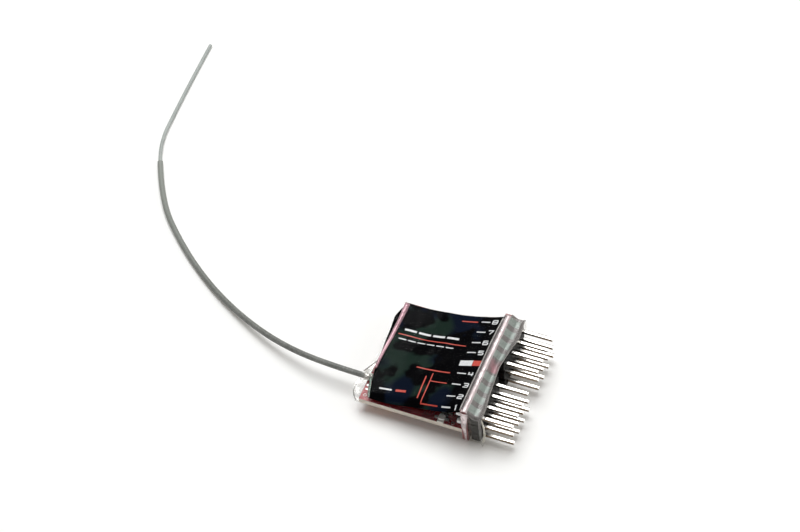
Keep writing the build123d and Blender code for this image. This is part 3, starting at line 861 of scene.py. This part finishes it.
# Folds of the film
def fold(name, stations, finish, height, out=(0, 0, 1)):
    # A pleat lying on the sleeve; stations are x, y, z of its middle, its width and the direction across it
    points, faces, count = [], [], 9
    for x, y, z, width, across_fold in stations:
        for place in np.linspace(-1, 1, count):
            lift = height * (1 - place * place) + 0.04 * wobble(x * 1.4, y * 1.4, z * 1.4 + place)
            shift = place * width / 2
            axes = zip((x, y, z), across_fold, out)
            points.append([middle + side * shift + up * lift for middle, side, up in axes])
    for row in range(len(stations) - 1):
        for index in range(count - 1):
            a = row * count + index
            faces.append((a, a + 1, a + count + 1, a + count))
    finish_piece(walled(new_piece(name, points, faces)), finish, "clear_film")


# The fold over the label's bent end, pink as a painted highlight
end_path = [(10.1, -13.25, 0.95), (7.5, -13.2, 0.84), (5.0, -13.22, 0.74), (1.85, -13.25, 0.68)]
end_path += [(-1.0, -13.45, 0.56), (-3.2, -13.5, 0.46), (-5.2, -13.45, 0.5)]
rows = along_path(end_path, np.linspace(10.1, -5.2, 40))
stations = [(x, y, sleeve_top(x, y) + 0.16, width, (1, 0, -0.1)) for y, x, width in rows]
fold("end_fold", stations, pink_highlight_film, 0.20)

# A thin pale film fold along the label's margin, as a painted highlight
margin_path = [(10.33, 5.82), (7.62, 5.66), (4.14, 5.58), (1.72, 5.62), (-1.36, 5.62)]
margin_path += [(-4.77, 5.60), (-7.71, 5.64), (-9.75, 5.64), (-11.15, 5.60)]
rows = along_path(margin_path, np.linspace(10.2, -11.1, 90))
stations = [(x + 0.06, y, sleeve_top(x, y) + 0.17, 0.20, (1, 0, 0.2)) for y, x in rows]
fold("margin_fold", stations, edge_highlight_film, 0.05)

# Film rising from the label to the board's edge, dark with painted shade
stations = []
for y, x in along_path(margin_path, np.linspace(10.9, -11.2, 70)):
    low, high = np.array((x + 0.05, sleeve_top(x, y) + 0.10)), np.array((6.30, header_top + 0.24))
    middle, reach = (low + high) / 2, high - low
    length = np.linalg.norm(reach)
    stations.append((middle[0], y, middle[1], length, (reach[0] / length, 0, reach[1] / length)))
fold("slope_fold", stations, shaded_slope_film, 0.05, out=(-0.5, 0, 0.87))

stations = []
for y in np.linspace(11.1, -11.6, 90):
    width = 1.16 + 0.12 * wobble(3.0, y * 0.8, 0)
    stations.append((6.64 + 0.05 * wobble(8.0, y * 1.3, 0), y, header_top + 0.05, width, (1, 0, -0.05)))
fold("ridge_fold", stations, ridge_film, 0.24)

# The lip's thin pale fold, as a painted highlight
ys = np.linspace(11.2, -11.3, 70)
stations = [(read(y, lip_xs) - 0.05, y, sleeve_top(9.4, y) + 0.18, 0.22, (1, 0, -0.3)) for y in ys]
fold("lip_fold", stations, edge_highlight_film, 0.04)

edge_path = [(-7.3, -13.55, 4.62), (-8.4, -13.2, 4.5), (-9.6, -12.9, 4.4)]
edge_path += [(-10.6, -12.6, 4.3), (-11.25, -12.3, 4.2)]
stations = [(x, y, z, 0.50, (1, 0, 0.15)) for y, x, z in along_path(edge_path, np.linspace(-7.3, -11.25, 24))]
fold("label_edge_fold", stations, green_film, 0.10)

stations = []
for share in np.linspace(0, 1, 24):
    left = read(share, [(0, 5.95), (0.5, 6.06), (1, 6.72)])
    right = read(share, [(0, 7.42), (0.5, 6.90), (1, 6.84)])
    stations.append(((left + right) / 2, -11.72, 8.9 - 8.7 * share, right - left, (1, 0, 0)))
fold("corner_fold", stations, ridge_film, 0.16, out=(0, -1, 0))

stations = []
for share in np.linspace(0, 1, 26):
    bow = sin(pi * share)
    place = (9.80 + 0.50 * bow, -11.45 - 0.05 * bow, 8.0 - 7.2 * share)
    stations.append((*place, 0.34 + 0.36 * bow, (0.75, -0.66, 0)))
fold("lip_curl", stations, curl_film, 0.16, out=(0.66, 0.75, 0))

# Film stretched from the end fold to the aerial, with its hem, and the mouth's own hem
web_edges = [
    ((-13.55, -2.8, 4.75), (-13.7, -3.2, 4.66)),
    ((-14.0, -3.9, 4.68), (-13.8, -4.6, 4.6)),
    ((-14.7, -5.1, 4.55), (-14.0, -5.6, 4.62)),
    ((-15.4, -6.15, 4.42), (-14.5, -6.35, 4.62)),
]
web_sag = 0.05
web_rows = []
for outer_edge, inner_edge in web_edges:
    start, reach = np.array(outer_edge), np.array(inner_edge) - np.array(outer_edge)
    shares = np.linspace(0, 1, 5)
    web_rows.append([start + reach * share - np.array((0, 0, web_sag * sin(pi * share))) for share in shares])
finish_piece(sheet_solid("mouth_web", web_rows, 0.06), web_film, "clear_film")
hem_width, hem_height = 0.15, 0.03
web_hem = [(-13.3, -2.3, 4.85)] + [outer_edge for outer_edge, inner_edge in web_edges]
fold("web_hem", [(*place, hem_width, (0.88, -0.47, 0)) for place in web_hem], hem_film, hem_height)
mouth_hem = [(-15.35, -7.7, 4.05), (-15.65, -8.5, 3.95), (-15.85, -9.3, 3.7)]
mouth_hem += [(-15.95, -10.0, 3.2), (-15.65, -10.7, 2.7), (-15.0, -11.3, 2.3)]
fold("mouth_hem", [(*place, hem_width, (0.8, 0.3, 0.5)) for place in mouth_hem], hem_film, hem_height)

# The collar that the film forms where the aerial leaves it
collar_rings, collar_sides = 9, 24
collar_points = []
for share in np.linspace(0, 1, collar_rings):
    for angle in np.linspace(0, 2 * pi, collar_sides + 1)[:-1]:
        radius = 0.62 + 0.16 * abs(2 * share - 1) + 0.06 * wobble(share * 2.5, cos(angle) * 2, sin(angle) * 2)
        place = (-14.95 + 1.5 * share, aerial_y + radius * cos(angle), aerial_z + radius * sin(angle))
        collar_points.append(place)
collar = new_piece("mouth_collar", collar_points, tube_faces(collar_rings, collar_sides, closed=False))
finish_piece(walled(collar), web_film, "clear_film")


# Repeated pieces, grown on points by geometry nodes
def new_growth(name, sizes):
    inputs = {"Geometry": "NodeSocketGeometry"}
    inputs.update({label: FLOAT for label in sizes})
    inputs["Finish"] = "NodeSocketMaterial"
    outputs = {"Geometry": "NodeSocketGeometry"}
    net, given, result = new_group(name, inputs, outputs, "GeometryNodeTree")
    net.tree.is_modifier = True
    return net, given, result


def end_growth(net, given, result, line, profile, smooth=True):
    # The profile is swept along the line, and the shape stands on each place with its own turn and size
    inputs = {"Curve": line, "Profile Curve": profile, "Fill Caps": True}
    shape = net.made("GeometryNodeCurveToMesh", inputs)
    turn_of, size_of = [
        net.made("GeometryNodeInputNamedAttribute", {"Name": name}, data_type="FLOAT_VECTOR")
        for name in ("turn", "size")
    ]
    rotation = net.made("FunctionNodeEulerToRotation", {0: turn_of})
    inputs = {"Points": given["Geometry"], "Instance": shape, "Rotation": rotation, "Scale": size_of}
    copies = net.made("GeometryNodeInstanceOnPoints", inputs)
    real = net.made("GeometryNodeRealizeInstances", {0: copies})
    shaded = net.made("GeometryNodeSetShadeSmooth", {"Geometry": real, "Shade Smooth": smooth})
    coated = net.made("GeometryNodeSetMaterial", {"Geometry": shaded, "Material": given["Finish"]})
    net.wire(coated, result["Geometry"])
    return net.tree


def box_profile(net, width, height, corner, count):
    outline = net.made("GeometryNodeCurvePrimitiveQuadrilateral", {"Width": width, "Height": height})
    inputs = {"Curve": outline, "Count": count, "Radius": corner}
    return net.made("GeometryNodeFilletCurve", inputs, mode="POLY")


def rod(net, count, **end):
    # A straight line from the place to its end, with count points
    line = net.made("GeometryNodeCurvePrimitiveLine", {"End": net.made("ShaderNodeCombineXYZ", end)})
    return net.made("GeometryNodeResampleCurve", {"Curve": line, "Count": count})


def shaped(net, line, radius, reach=None):
    # Gives a line's points their radius and, where it is given, their place along X
    if reach is not None:
        place = net.made("ShaderNodeCombineXYZ", {"X": reach})
        line = net.made("GeometryNodeSetPosition", {"Geometry": line, "Position": place})
    return net.made("GeometryNodeSetCurveRadius", {"Curve": line, "Radius": radius})


def make_pin_growth():
    # A square pin along X with rounded corners and a blunt tapered point
    labels = ["Width", "Corner", "Length", "Point Length", "Point Share"]
    net, given, result = new_growth("square pins", labels)
    index = net.made("GeometryNodeInputIndex")
    left = net.math("MAXIMUM", net.minus(1.88, net.times(index, 0.88)), 0.0)
    reach = net.minus(given["Length"], net.times(left, given["Point Length"]))
    reach = net.times(reach, net.math("MINIMUM", index, 1.0))
    past = net.math("GREATER_THAN", index, 1.5)
    narrow = net.minus(1.0, net.times(net.minus(index, 2.0), 0.35))
    slim = net.times(given["Point Share"], narrow)
    radius = net.plus(net.minus(1.0, past), net.times(past, slim))
    line = shaped(net, rod(net, 4, X=given["Length"]), radius, reach)
    profile = box_profile(net, given["Width"], given["Width"], given["Corner"], 3)
    return end_growth(net, given, result, line, profile)


def make_cell_growth():
    # One cell of a header housing: a square block along X with cut corners and softened ends
    net, given, result = new_growth("housing cells", ["Width", "Notch", "Depth", "Soft"])
    index = net.made("GeometryNodeInputIndex")
    steps = [net.spread(index, step, step + 1.0) for step in (0.0, 1.0, 2.0)]
    span = net.minus(net.minus(given["Depth"], given["Soft"]), given["Soft"])
    reach = net.plus(net.times(steps[0], given["Soft"]), net.times(steps[1], span))
    reach = net.plus(reach, net.times(steps[2], given["Soft"]))
    ends = net.plus(net.minus(1.0, steps[0]), steps[2])
    lost = net.math("DIVIDE", net.times(given["Soft"], 2.0), given["Width"])
    radius = net.minus(1.0, net.times(ends, lost))
    line = shaped(net, rod(net, 4, X=given["Depth"]), radius, reach)
    profile = box_profile(net, given["Width"], given["Width"], given["Notch"], 1)
    return end_growth(net, given, result, line, profile, smooth=False)


def make_mound_growth():
    # A solder mound along X: wide at its foot, hollow in its flank, rounded at its top
    net, given, result = new_growth("solder mounds", ["Radius", "Height"])
    share = net.add("GeometryNodeSplineParameter").outputs["Factor"]
    curve = net.add("ShaderNodeFloatCurve", {"Value": share})
    points = curve.mapping.curves[0].points
    points[0].location, points[1].location = (0.0, 1.0), (1.0, 0.05)
    for place in ((0.2, 0.78), (0.5, 0.55), (0.85, 0.42), (0.96, 0.25)):
        points.new(*place)
    curve.mapping.update()
    line = shaped(net, rod(net, 9, X=given["Height"]), curve.outputs[0])
    profile = net.made("GeometryNodeCurvePrimitiveCircle", {"Resolution": 20, "Radius": given["Radius"]})
    return end_growth(net, given, result, line, profile)


def make_lead_growth():
    # A gull-wing lead along X: out of the package, down in an S and flat on the board
    net, given, result = new_growth("gull-wing leads", ["Width", "Thickness", "Reach", "Drop"])
    foot = net.times(given["Thickness"], 0.5)
    ends = {
        "Start": {"Z": given["Drop"]},
        "Start Handle": {"X": given["Reach"], "Z": given["Drop"]},
        "End Handle": {"Z": foot},
        "End": {"X": given["Reach"], "Z": foot},
    }
    inputs = {label: net.made("ShaderNodeCombineXYZ", parts) for label, parts in ends.items()}
    line = net.made("GeometryNodeCurvePrimitiveBezierSegment", {**inputs, "Resolution": 10})
    profile = box_profile(net, given["Thickness"], given["Width"], 0.00003, 2)
    return end_growth(net, given, result, line, profile)


def make_block_growth():
    # A plain block on its foot, with cut corners: chip bodies, end caps, pads
    net, given, result = new_growth("small blocks", ["Length", "Width", "Height", "Corner"])
    profile = box_profile(net, given["Width"], given["Length"], given["Corner"], 2)
    return end_growth(net, given, result, rod(net, 2, Z=given["Height"]), profile, smooth=False)


def make_ring_growth():
    # A ring lying on a board, such as the land round a plated hole
    net, given, result = new_growth("ring lands", ["Radius", "Section"])
    circle = net.made("GeometryNodeCurvePrimitiveCircle", {"Resolution": 16, "Radius": given["Radius"]})
    profile = net.made("GeometryNodeCurvePrimitiveCircle", {"Resolution": 6, "Radius": given["Section"]})
    return end_growth(net, given, result, circle, profile)


pin_growth = make_pin_growth()
cell_growth = make_cell_growth()
mound_growth = make_mound_growth()
lead_growth = make_lead_growth()
block_growth = make_block_growth()
ring_growth = make_ring_growth()


def grown(name, growth, finish, places, sizes, turns=None, scales=None):
    # A plain mesh of one growth on places, in millimetres; sizes are the growth's inputs, in millimetres too
    mesh = bpy.data.meshes.new(name + "_places")
    mesh.from_pydata([tuple(part * MM for part in place) for place in places], [], [])
    turns = turns or [(0, 0, 0)] * len(places)
    scales = scales or [(1, 1, 1)] * len(places)
    for label, values in (("turn", turns), ("size", scales)):
        attribute = mesh.attributes.new(label, "FLOAT_VECTOR", "POINT")
        attribute.data.foreach_set("vector", [float(part) for value in values for part in value])
    seedbed = new_object(name + "_places", mesh)
    modifier = seedbed.modifiers.new("growth", "NODES")
    modifier.node_group = growth
    for item in growth.interface.items_tree:
        if item.name in sizes:
            modifier[item.identifier] = sizes[item.name] * (1 if item.name.endswith("Share") else MM)
        elif item.name == "Finish":
            modifier[item.identifier] = finish
    bpy.context.view_layer.update()
    ready = seedbed.evaluated_get(bpy.context.evaluated_depsgraph_get())
    plain = bpy.data.meshes.new_from_object(ready)
    seedbed.modifiers.remove(modifier)
    bpy.data.objects.remove(seedbed)
    plain.name = name
    for label in ("turn", "size"):
        if label in plain.attributes:
            plain.attributes.remove(plain.attributes[label])
    piece = new_object(name, cleaned(plain, 1e-8))
    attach(piece, "root")
    return piece


def blocks(name, finish, feet, size, corner, turns=None):
    sizes = dict(zip(("Length", "Width", "Height"), size), Corner=corner)
    return grown(name, block_growth, finish, feet, sizes, turns)


# Servo pins
pin_sizes = {"Width": pin_width, "Corner": 0.07, "Length": pin_tip - pin_back, "Point Length": 0.75}
pin_places = [(pin_back, y, z) for y in column_ys for z in row_zs]
pins = grown("servo_pins", pin_growth, pin_metal, pin_places, {**pin_sizes, "Point Share": 0.55})
pin_nodes = [f"pin_channel_{channel}_{row}" for channel in range(1, 9) for row in row_names]
name_piece(pins, "pin_metal", *pin_nodes)

# Header housings
cell_sizes = {"Width": pitch * 0.997, "Notch": 0.42, "Depth": block_front - block_back, "Soft": 0.09}
for side, name in ((-1, "near"), (1, "far")):
    cells = [(block_back, y, z) for y in column_ys if y * side > 0 for z in row_zs]
    housing = grown(f"header_housing_{name}", cell_growth, moulding, cells, cell_sizes)
    name_piece(housing, "black_moulding", f"header_block_{name}")

# Solder round the pin tails, on the back of the header board; the lowest row is pressed under the main board
mound_sizes = {"Radius": 0.80, "Height": 1.12}
for row, z in zip(row_names, row_zs):
    flat = 0.66 if row == "ground" else 1.0
    tails = [(header_back, y, z) for y in column_ys]
    turns, scales = [(0, pi, 0)] * len(tails), [(1, 1, flat)] * len(tails)
    mounds = grown(f"solder_mounds_{row}", mound_growth, solder, tails, mound_sizes, turns, scales)
    name_piece(mounds, "solder", f"pin_solder_{row}")


# Components on the main board
def component(name, places, size, body, caps, node, slot, cap_length=0.3, corner=0.04):
    # Chip components with a body and two end caps; places are x, y, foot z and turn in degrees
    length, width, height = size
    flip = 0 if places[0][2] > 3 else pi
    turns = [(flip, 0, radians(place[3])) for place in places]
    body_size = (length - 0.1, width - 0.06, height - 0.03)
    core = blocks(name, body, [place[:3] for place in places], body_size, corner, turns)
    ends, end_turns = [], []
    for (x, y, z, angle), turned in zip(places, turns):
        for side in (-1, 1):
            offset = side * (length - cap_length) / 2
            ends.append((x + offset * cos(radians(angle)), y + offset * sin(radians(angle)), z))
            end_turns.append(turned)
    tips = blocks(name + "_ends", caps, ends, (cap_length, width, height), corner, end_turns)
    for piece in (core, tips):
        name_piece(bevelled(piece, 0.03), slot, node)


def at_end(*places):
    # Places on the board, x in from its aerial end, y, and a turn in degrees
    return [(board_left + x, y, board_top, *(turned or [0])) for x, y, *turned in places]


def at_header(*places):
    # The same, x measured back from the header board
    return [(header_back - x, y, board_top, *(turned or [0])) for x, y, *turned in places]


capacitors = at_end((1.4, -3.6, 90), (1.4, -1.2, 90), (8.1, -7.6), (10.9, -7.6), (6.7, 9.3), (9.7, 9.9))
capacitors += at_header((2.1, 0.0, 90), (2.1, 6.0, 90))
resistors = at_end((11.9, -4.4, 90))
resistors += at_header((6.8, -6.6), (4.7, -5.4), (4.7, -3.8), (3.7, -9.3))
resistors += at_header((2.1, 3.0, 90), (2.1, 8.6, 90), (4.6, 9.6))
filters = at_end((5.0, -4.6))
for name, places, size, body, node, slot in (
    ("capacitors", capacitors, (1.6, 0.8, 0.8), brown_ceramic, "ceramic_capacitors", "brown_ceramic"),
    ("resistors", resistors, (1.6, 0.8, 0.45), black_ceramic, "chip_resistors", "black_ceramic"),
    ("filter_chip", filters, (1.25, 2.0, 0.8), pale_ceramic, "aerial_filter", "pale_ceramic"),
):
    component(name, places, size, body, lead_metal, node, slot)
for side, name in ((-1, "near"), (1, "far")):
    foot = [(board_left + 4.3, side * 7.4, board_bottom, 0)]
    node = f"bulk_capacitor_{name}"
    component(f"bulk_{name}", foot, (3.5, 2.8, 2.1), yellow_moulding, lead_metal, node, "capacitor_yellow")


def package(name, node, x, y, size, count, lead_pitch, sides, up=1):
    # A moulded package with count gull-wing leads on some of its sides; up is -1 on the underside
    length, width, height = size
    board_z = board_top if up > 0 else board_bottom
    flip = 0 if up > 0 else pi
    body = blocks(name + "_body", chip_black, [(x, y, board_z + 0.1 * up)], size, 0.12, [(flip, 0, 0)])
    bevelled(body, 0.09)
    places, turns = [], []
    for side in sides:
        angle = radians(side)
        reach = (length if side % 180 == 0 else width) / 2 - 0.15
        for index in range(count):
            along = (index - (count - 1) / 2) * lead_pitch
            lead_x = x + reach * cos(angle) - along * sin(angle)
            lead_y = y + reach * sin(angle) + along * cos(angle)
            places.append((lead_x, lead_y, board_z))
            turns.append((flip, 0, angle))
    lead_sizes = {"Width": 0.35, "Thickness": 0.14, "Reach": 1.05, "Drop": 0.1 + height / 2}
    leads = grown(name + "_leads", lead_growth, lead_metal, places, lead_sizes, turns)
    for piece in (body, leads):
        name_piece(piece, "chip_black", node)


package("controller", "controller_chip", header_back - 7.9, 3.5, (7.0, 7.0, 1.3), 8, 0.8, (0, 90, 180, 270))
package("regulator", "voltage_regulator", board_left + 2.3, 7.6, (2.5, 4.5, 1.1), 3, 1.5, (0,))
package("memory", "memory_chip", header_back - 7.9, 0.0, (4.9, 3.9, 1.5), 4, 1.27, (90, 270), up=-1)

# Status lamp: a white base with plated ends and a clear lens
lamp = at_header((4.2, -10.6))
component("lamp_base", lamp, (2.0, 1.25, 0.38), pale_ceramic, lead_metal, "status_led", "clear_lens", 0.42)
lamp_lens = blocks("lamp_lens", clear_lens, [(*lamp[0][:2], board_top + 0.35)], (1.15, 1.15, 0.40), 0.2)
name_piece(bevelled(lamp_lens, 0.12, 3), "clear_lens")


# Solder that holds the aerial: rounded mounds over its braid and its core
def mound(name, node, low, high, seed):
    ball = bmesh.new()
    bmesh.ops.create_icosphere(ball, subdivisions=4, radius=1.0)
    middle = [(a + b) / 2 for a, b in zip(low, high)]
    half = [(b - a) / 2 for a, b in zip(low, high)]
    points, faces = [], [tuple(vert.index for vert in face.verts) for face in ball.faces]
    for vert in ball.verts:
        squared = [abs(part) ** 0.8 * (1 if part > 0 else -1) for part in vert.co]
        lump = 1 + 0.05 * noise.noise(vert.co * 2.2 + Vector((seed, 0, 0)))
        x, y, z = [centre + part * reach * lump for centre, part, reach in zip(middle, squared, half)]
        points.append((x, y, max(low[2] + 0.002, min(high[2], z))))
    ball.free()
    finish_piece(new_piece(name, points, faces), solder, "solder", node)


mound("braid_solder", "aerial_braid_joint", (-12.1, -7.7, board_top), (-10.5, -5.9, 4.62), 1.0)
mound("core_solder", "aerial_core_joint", (-9.6, -7.3, board_top), (-8.5, -6.3, 4.27), 4.0)

# Lands of plated holes, and bare pads, that show along the edges of the board
hole_places = [(-13.5, -10.4), (3.9, -10.9), (-11.0, 10.6), (-4.5, 10.8), (2.6, 10.6)]
hole_feet = [(x, y, board_top) for x, y in hole_places]
lands = grown("ring_lands", ring_growth, lead_metal, hole_feet, {"Radius": 0.26, "Section": 0.07})
name_piece(lands, "solder")
pad_feet = [(-13.80, -8.2, board_top), (-13.66, -9.1, board_top)]
name_piece(blocks("bare_pads", solder, pad_feet, (0.30, 0.55, 0.05), 0.08), "solder")

# CAD nodes that show as they are
for node, finish in (
    ("main_board", lying_board),
    ("header_board", standing_board),
    ("board_solder", solder),
    ("aerial_core", copper_core),
    ("transceiver_chip", chip_black),
    ("transistor", chip_black),
    ("crystal_base", pale_ceramic),
    ("crystal_lid", can_metal),
    ("power_inductor", ferrite),
):
    mesh = nodes[node].data
    mesh.materials.clear()
    mesh.materials.append(finish)


# Aerial: grey coaxial cable and its bare tip
def cord_curve(name, route, diameter, finish, slot, node):
    curve = bpy.data.curves.new(name, "CURVE")
    curve.dimensions = "3D"
    spline = curve.splines.new("NURBS")
    spline.points.add(len(route) - 1)
    for point, place in zip(spline.points, route):
        point.co = (*place, 1)
    spline.order_u = 3
    spline.use_endpoint_u = True
    curve.resolution_u = 16
    curve.bevel_depth = diameter / 2
    curve.bevel_resolution = 6
    curve.use_fill_caps = True
    return finish_piece(new_object(name, curve), finish, slot, node)


coax = cord_curve("coax_cable", coax_route, 0.0011, jacket_grey, "grey_jacket", "aerial_coax")
tip = cord_curve("aerial_bare_tip", tip_route, 0.0007, tip_grey, "pale_insulation", "aerial_tip")


# Floor, backdrop and light
def make_floor():
    # It glows faintly to the camera and to mirrors, so that it shows as white as the backdrop
    finish, net, shader = new_finish("floor", (0.95, 0.95, 0.955), 0.9, Specular_IOR_Level=0.0)
    rays = net.add("ShaderNodeLightPath").outputs
    mirrored = net.math("MAXIMUM", rays["Is Glossy Ray"], rays["Is Transmission Ray"])
    seen = net.math("MAXIMUM", rays["Is Camera Ray"], mirrored)
    net.wire(net.mixed(seen, (0, 0, 0), (1, 0.90, 0.74)), shader["Emission Color"])
    net.wire(0.05, shader["Emission Strength"])
    mesh = bpy.data.meshes.new("floor")
    reach = 6.0
    corners = [(-reach, -reach, 0), (reach, -reach, 0), (reach, reach, 0), (-reach, reach, 0)]
    mesh.from_pydata(corners, [], [(0, 1, 2, 3)])
    mesh.materials.append(finish)
    new_object("floor", mesh)


def make_sky():
    # White to the camera; to the object a soft sky, brighter near the horizon than overhead
    world = bpy.data.worlds.new("studio")
    scene.world = world
    world.use_nodes = True
    net = Net(world.node_tree)
    sky = net.tree.nodes["Background"].inputs
    direction = net.add("ShaderNodeTexCoord").outputs["Generated"]
    height = net.add("ShaderNodeSeparateXYZ", {0: direction}).outputs["Z"]
    bands = net.add("ShaderNodeValToRGB", {"Fac": height})
    ramp = bands.color_ramp
    ramp.elements[0].position, ramp.elements[0].color = 0.0, (0.36, 0.345, 0.31, 1)
    ramp.elements[1].position, ramp.elements[1].color = 0.95, (0.18, 0.18, 0.175, 1)
    for place, colour in ((0.30, (0.37, 0.355, 0.325, 1)), (0.60, (0.20, 0.198, 0.19, 1))):
        ramp.elements.new(place).color = colour
    rays = net.add("ShaderNodeLightPath").outputs
    net.wire(net.mixed(rays["Is Camera Ray"], bands.outputs[0], (1, 1, 1)), sky["Color"])
    net.wire(1.0, sky["Strength"])


def softbox(name, place, size, power, colour):
    # A square lamp that looks at the object
    light = bpy.data.lights.new(name, "AREA")
    light.shape = "RECTANGLE"
    light.size, light.size_y = size, size
    light.energy = power
    light.color = colour
    lamp = new_object(name, light)
    lamp.location = place
    lamp.rotation_euler = (-Vector(place)).to_track_quat("-Z", "Y").to_euler()


make_floor()
make_sky()
softbox("back softbox", (-0.14, 0.36, 1.0), 0.80, 11.2, (0.99, 1.0, 0.995))
softbox("right card", (0.85, 0.25, 0.45), 0.5, 1.6, (1.0, 0.99, 0.97))
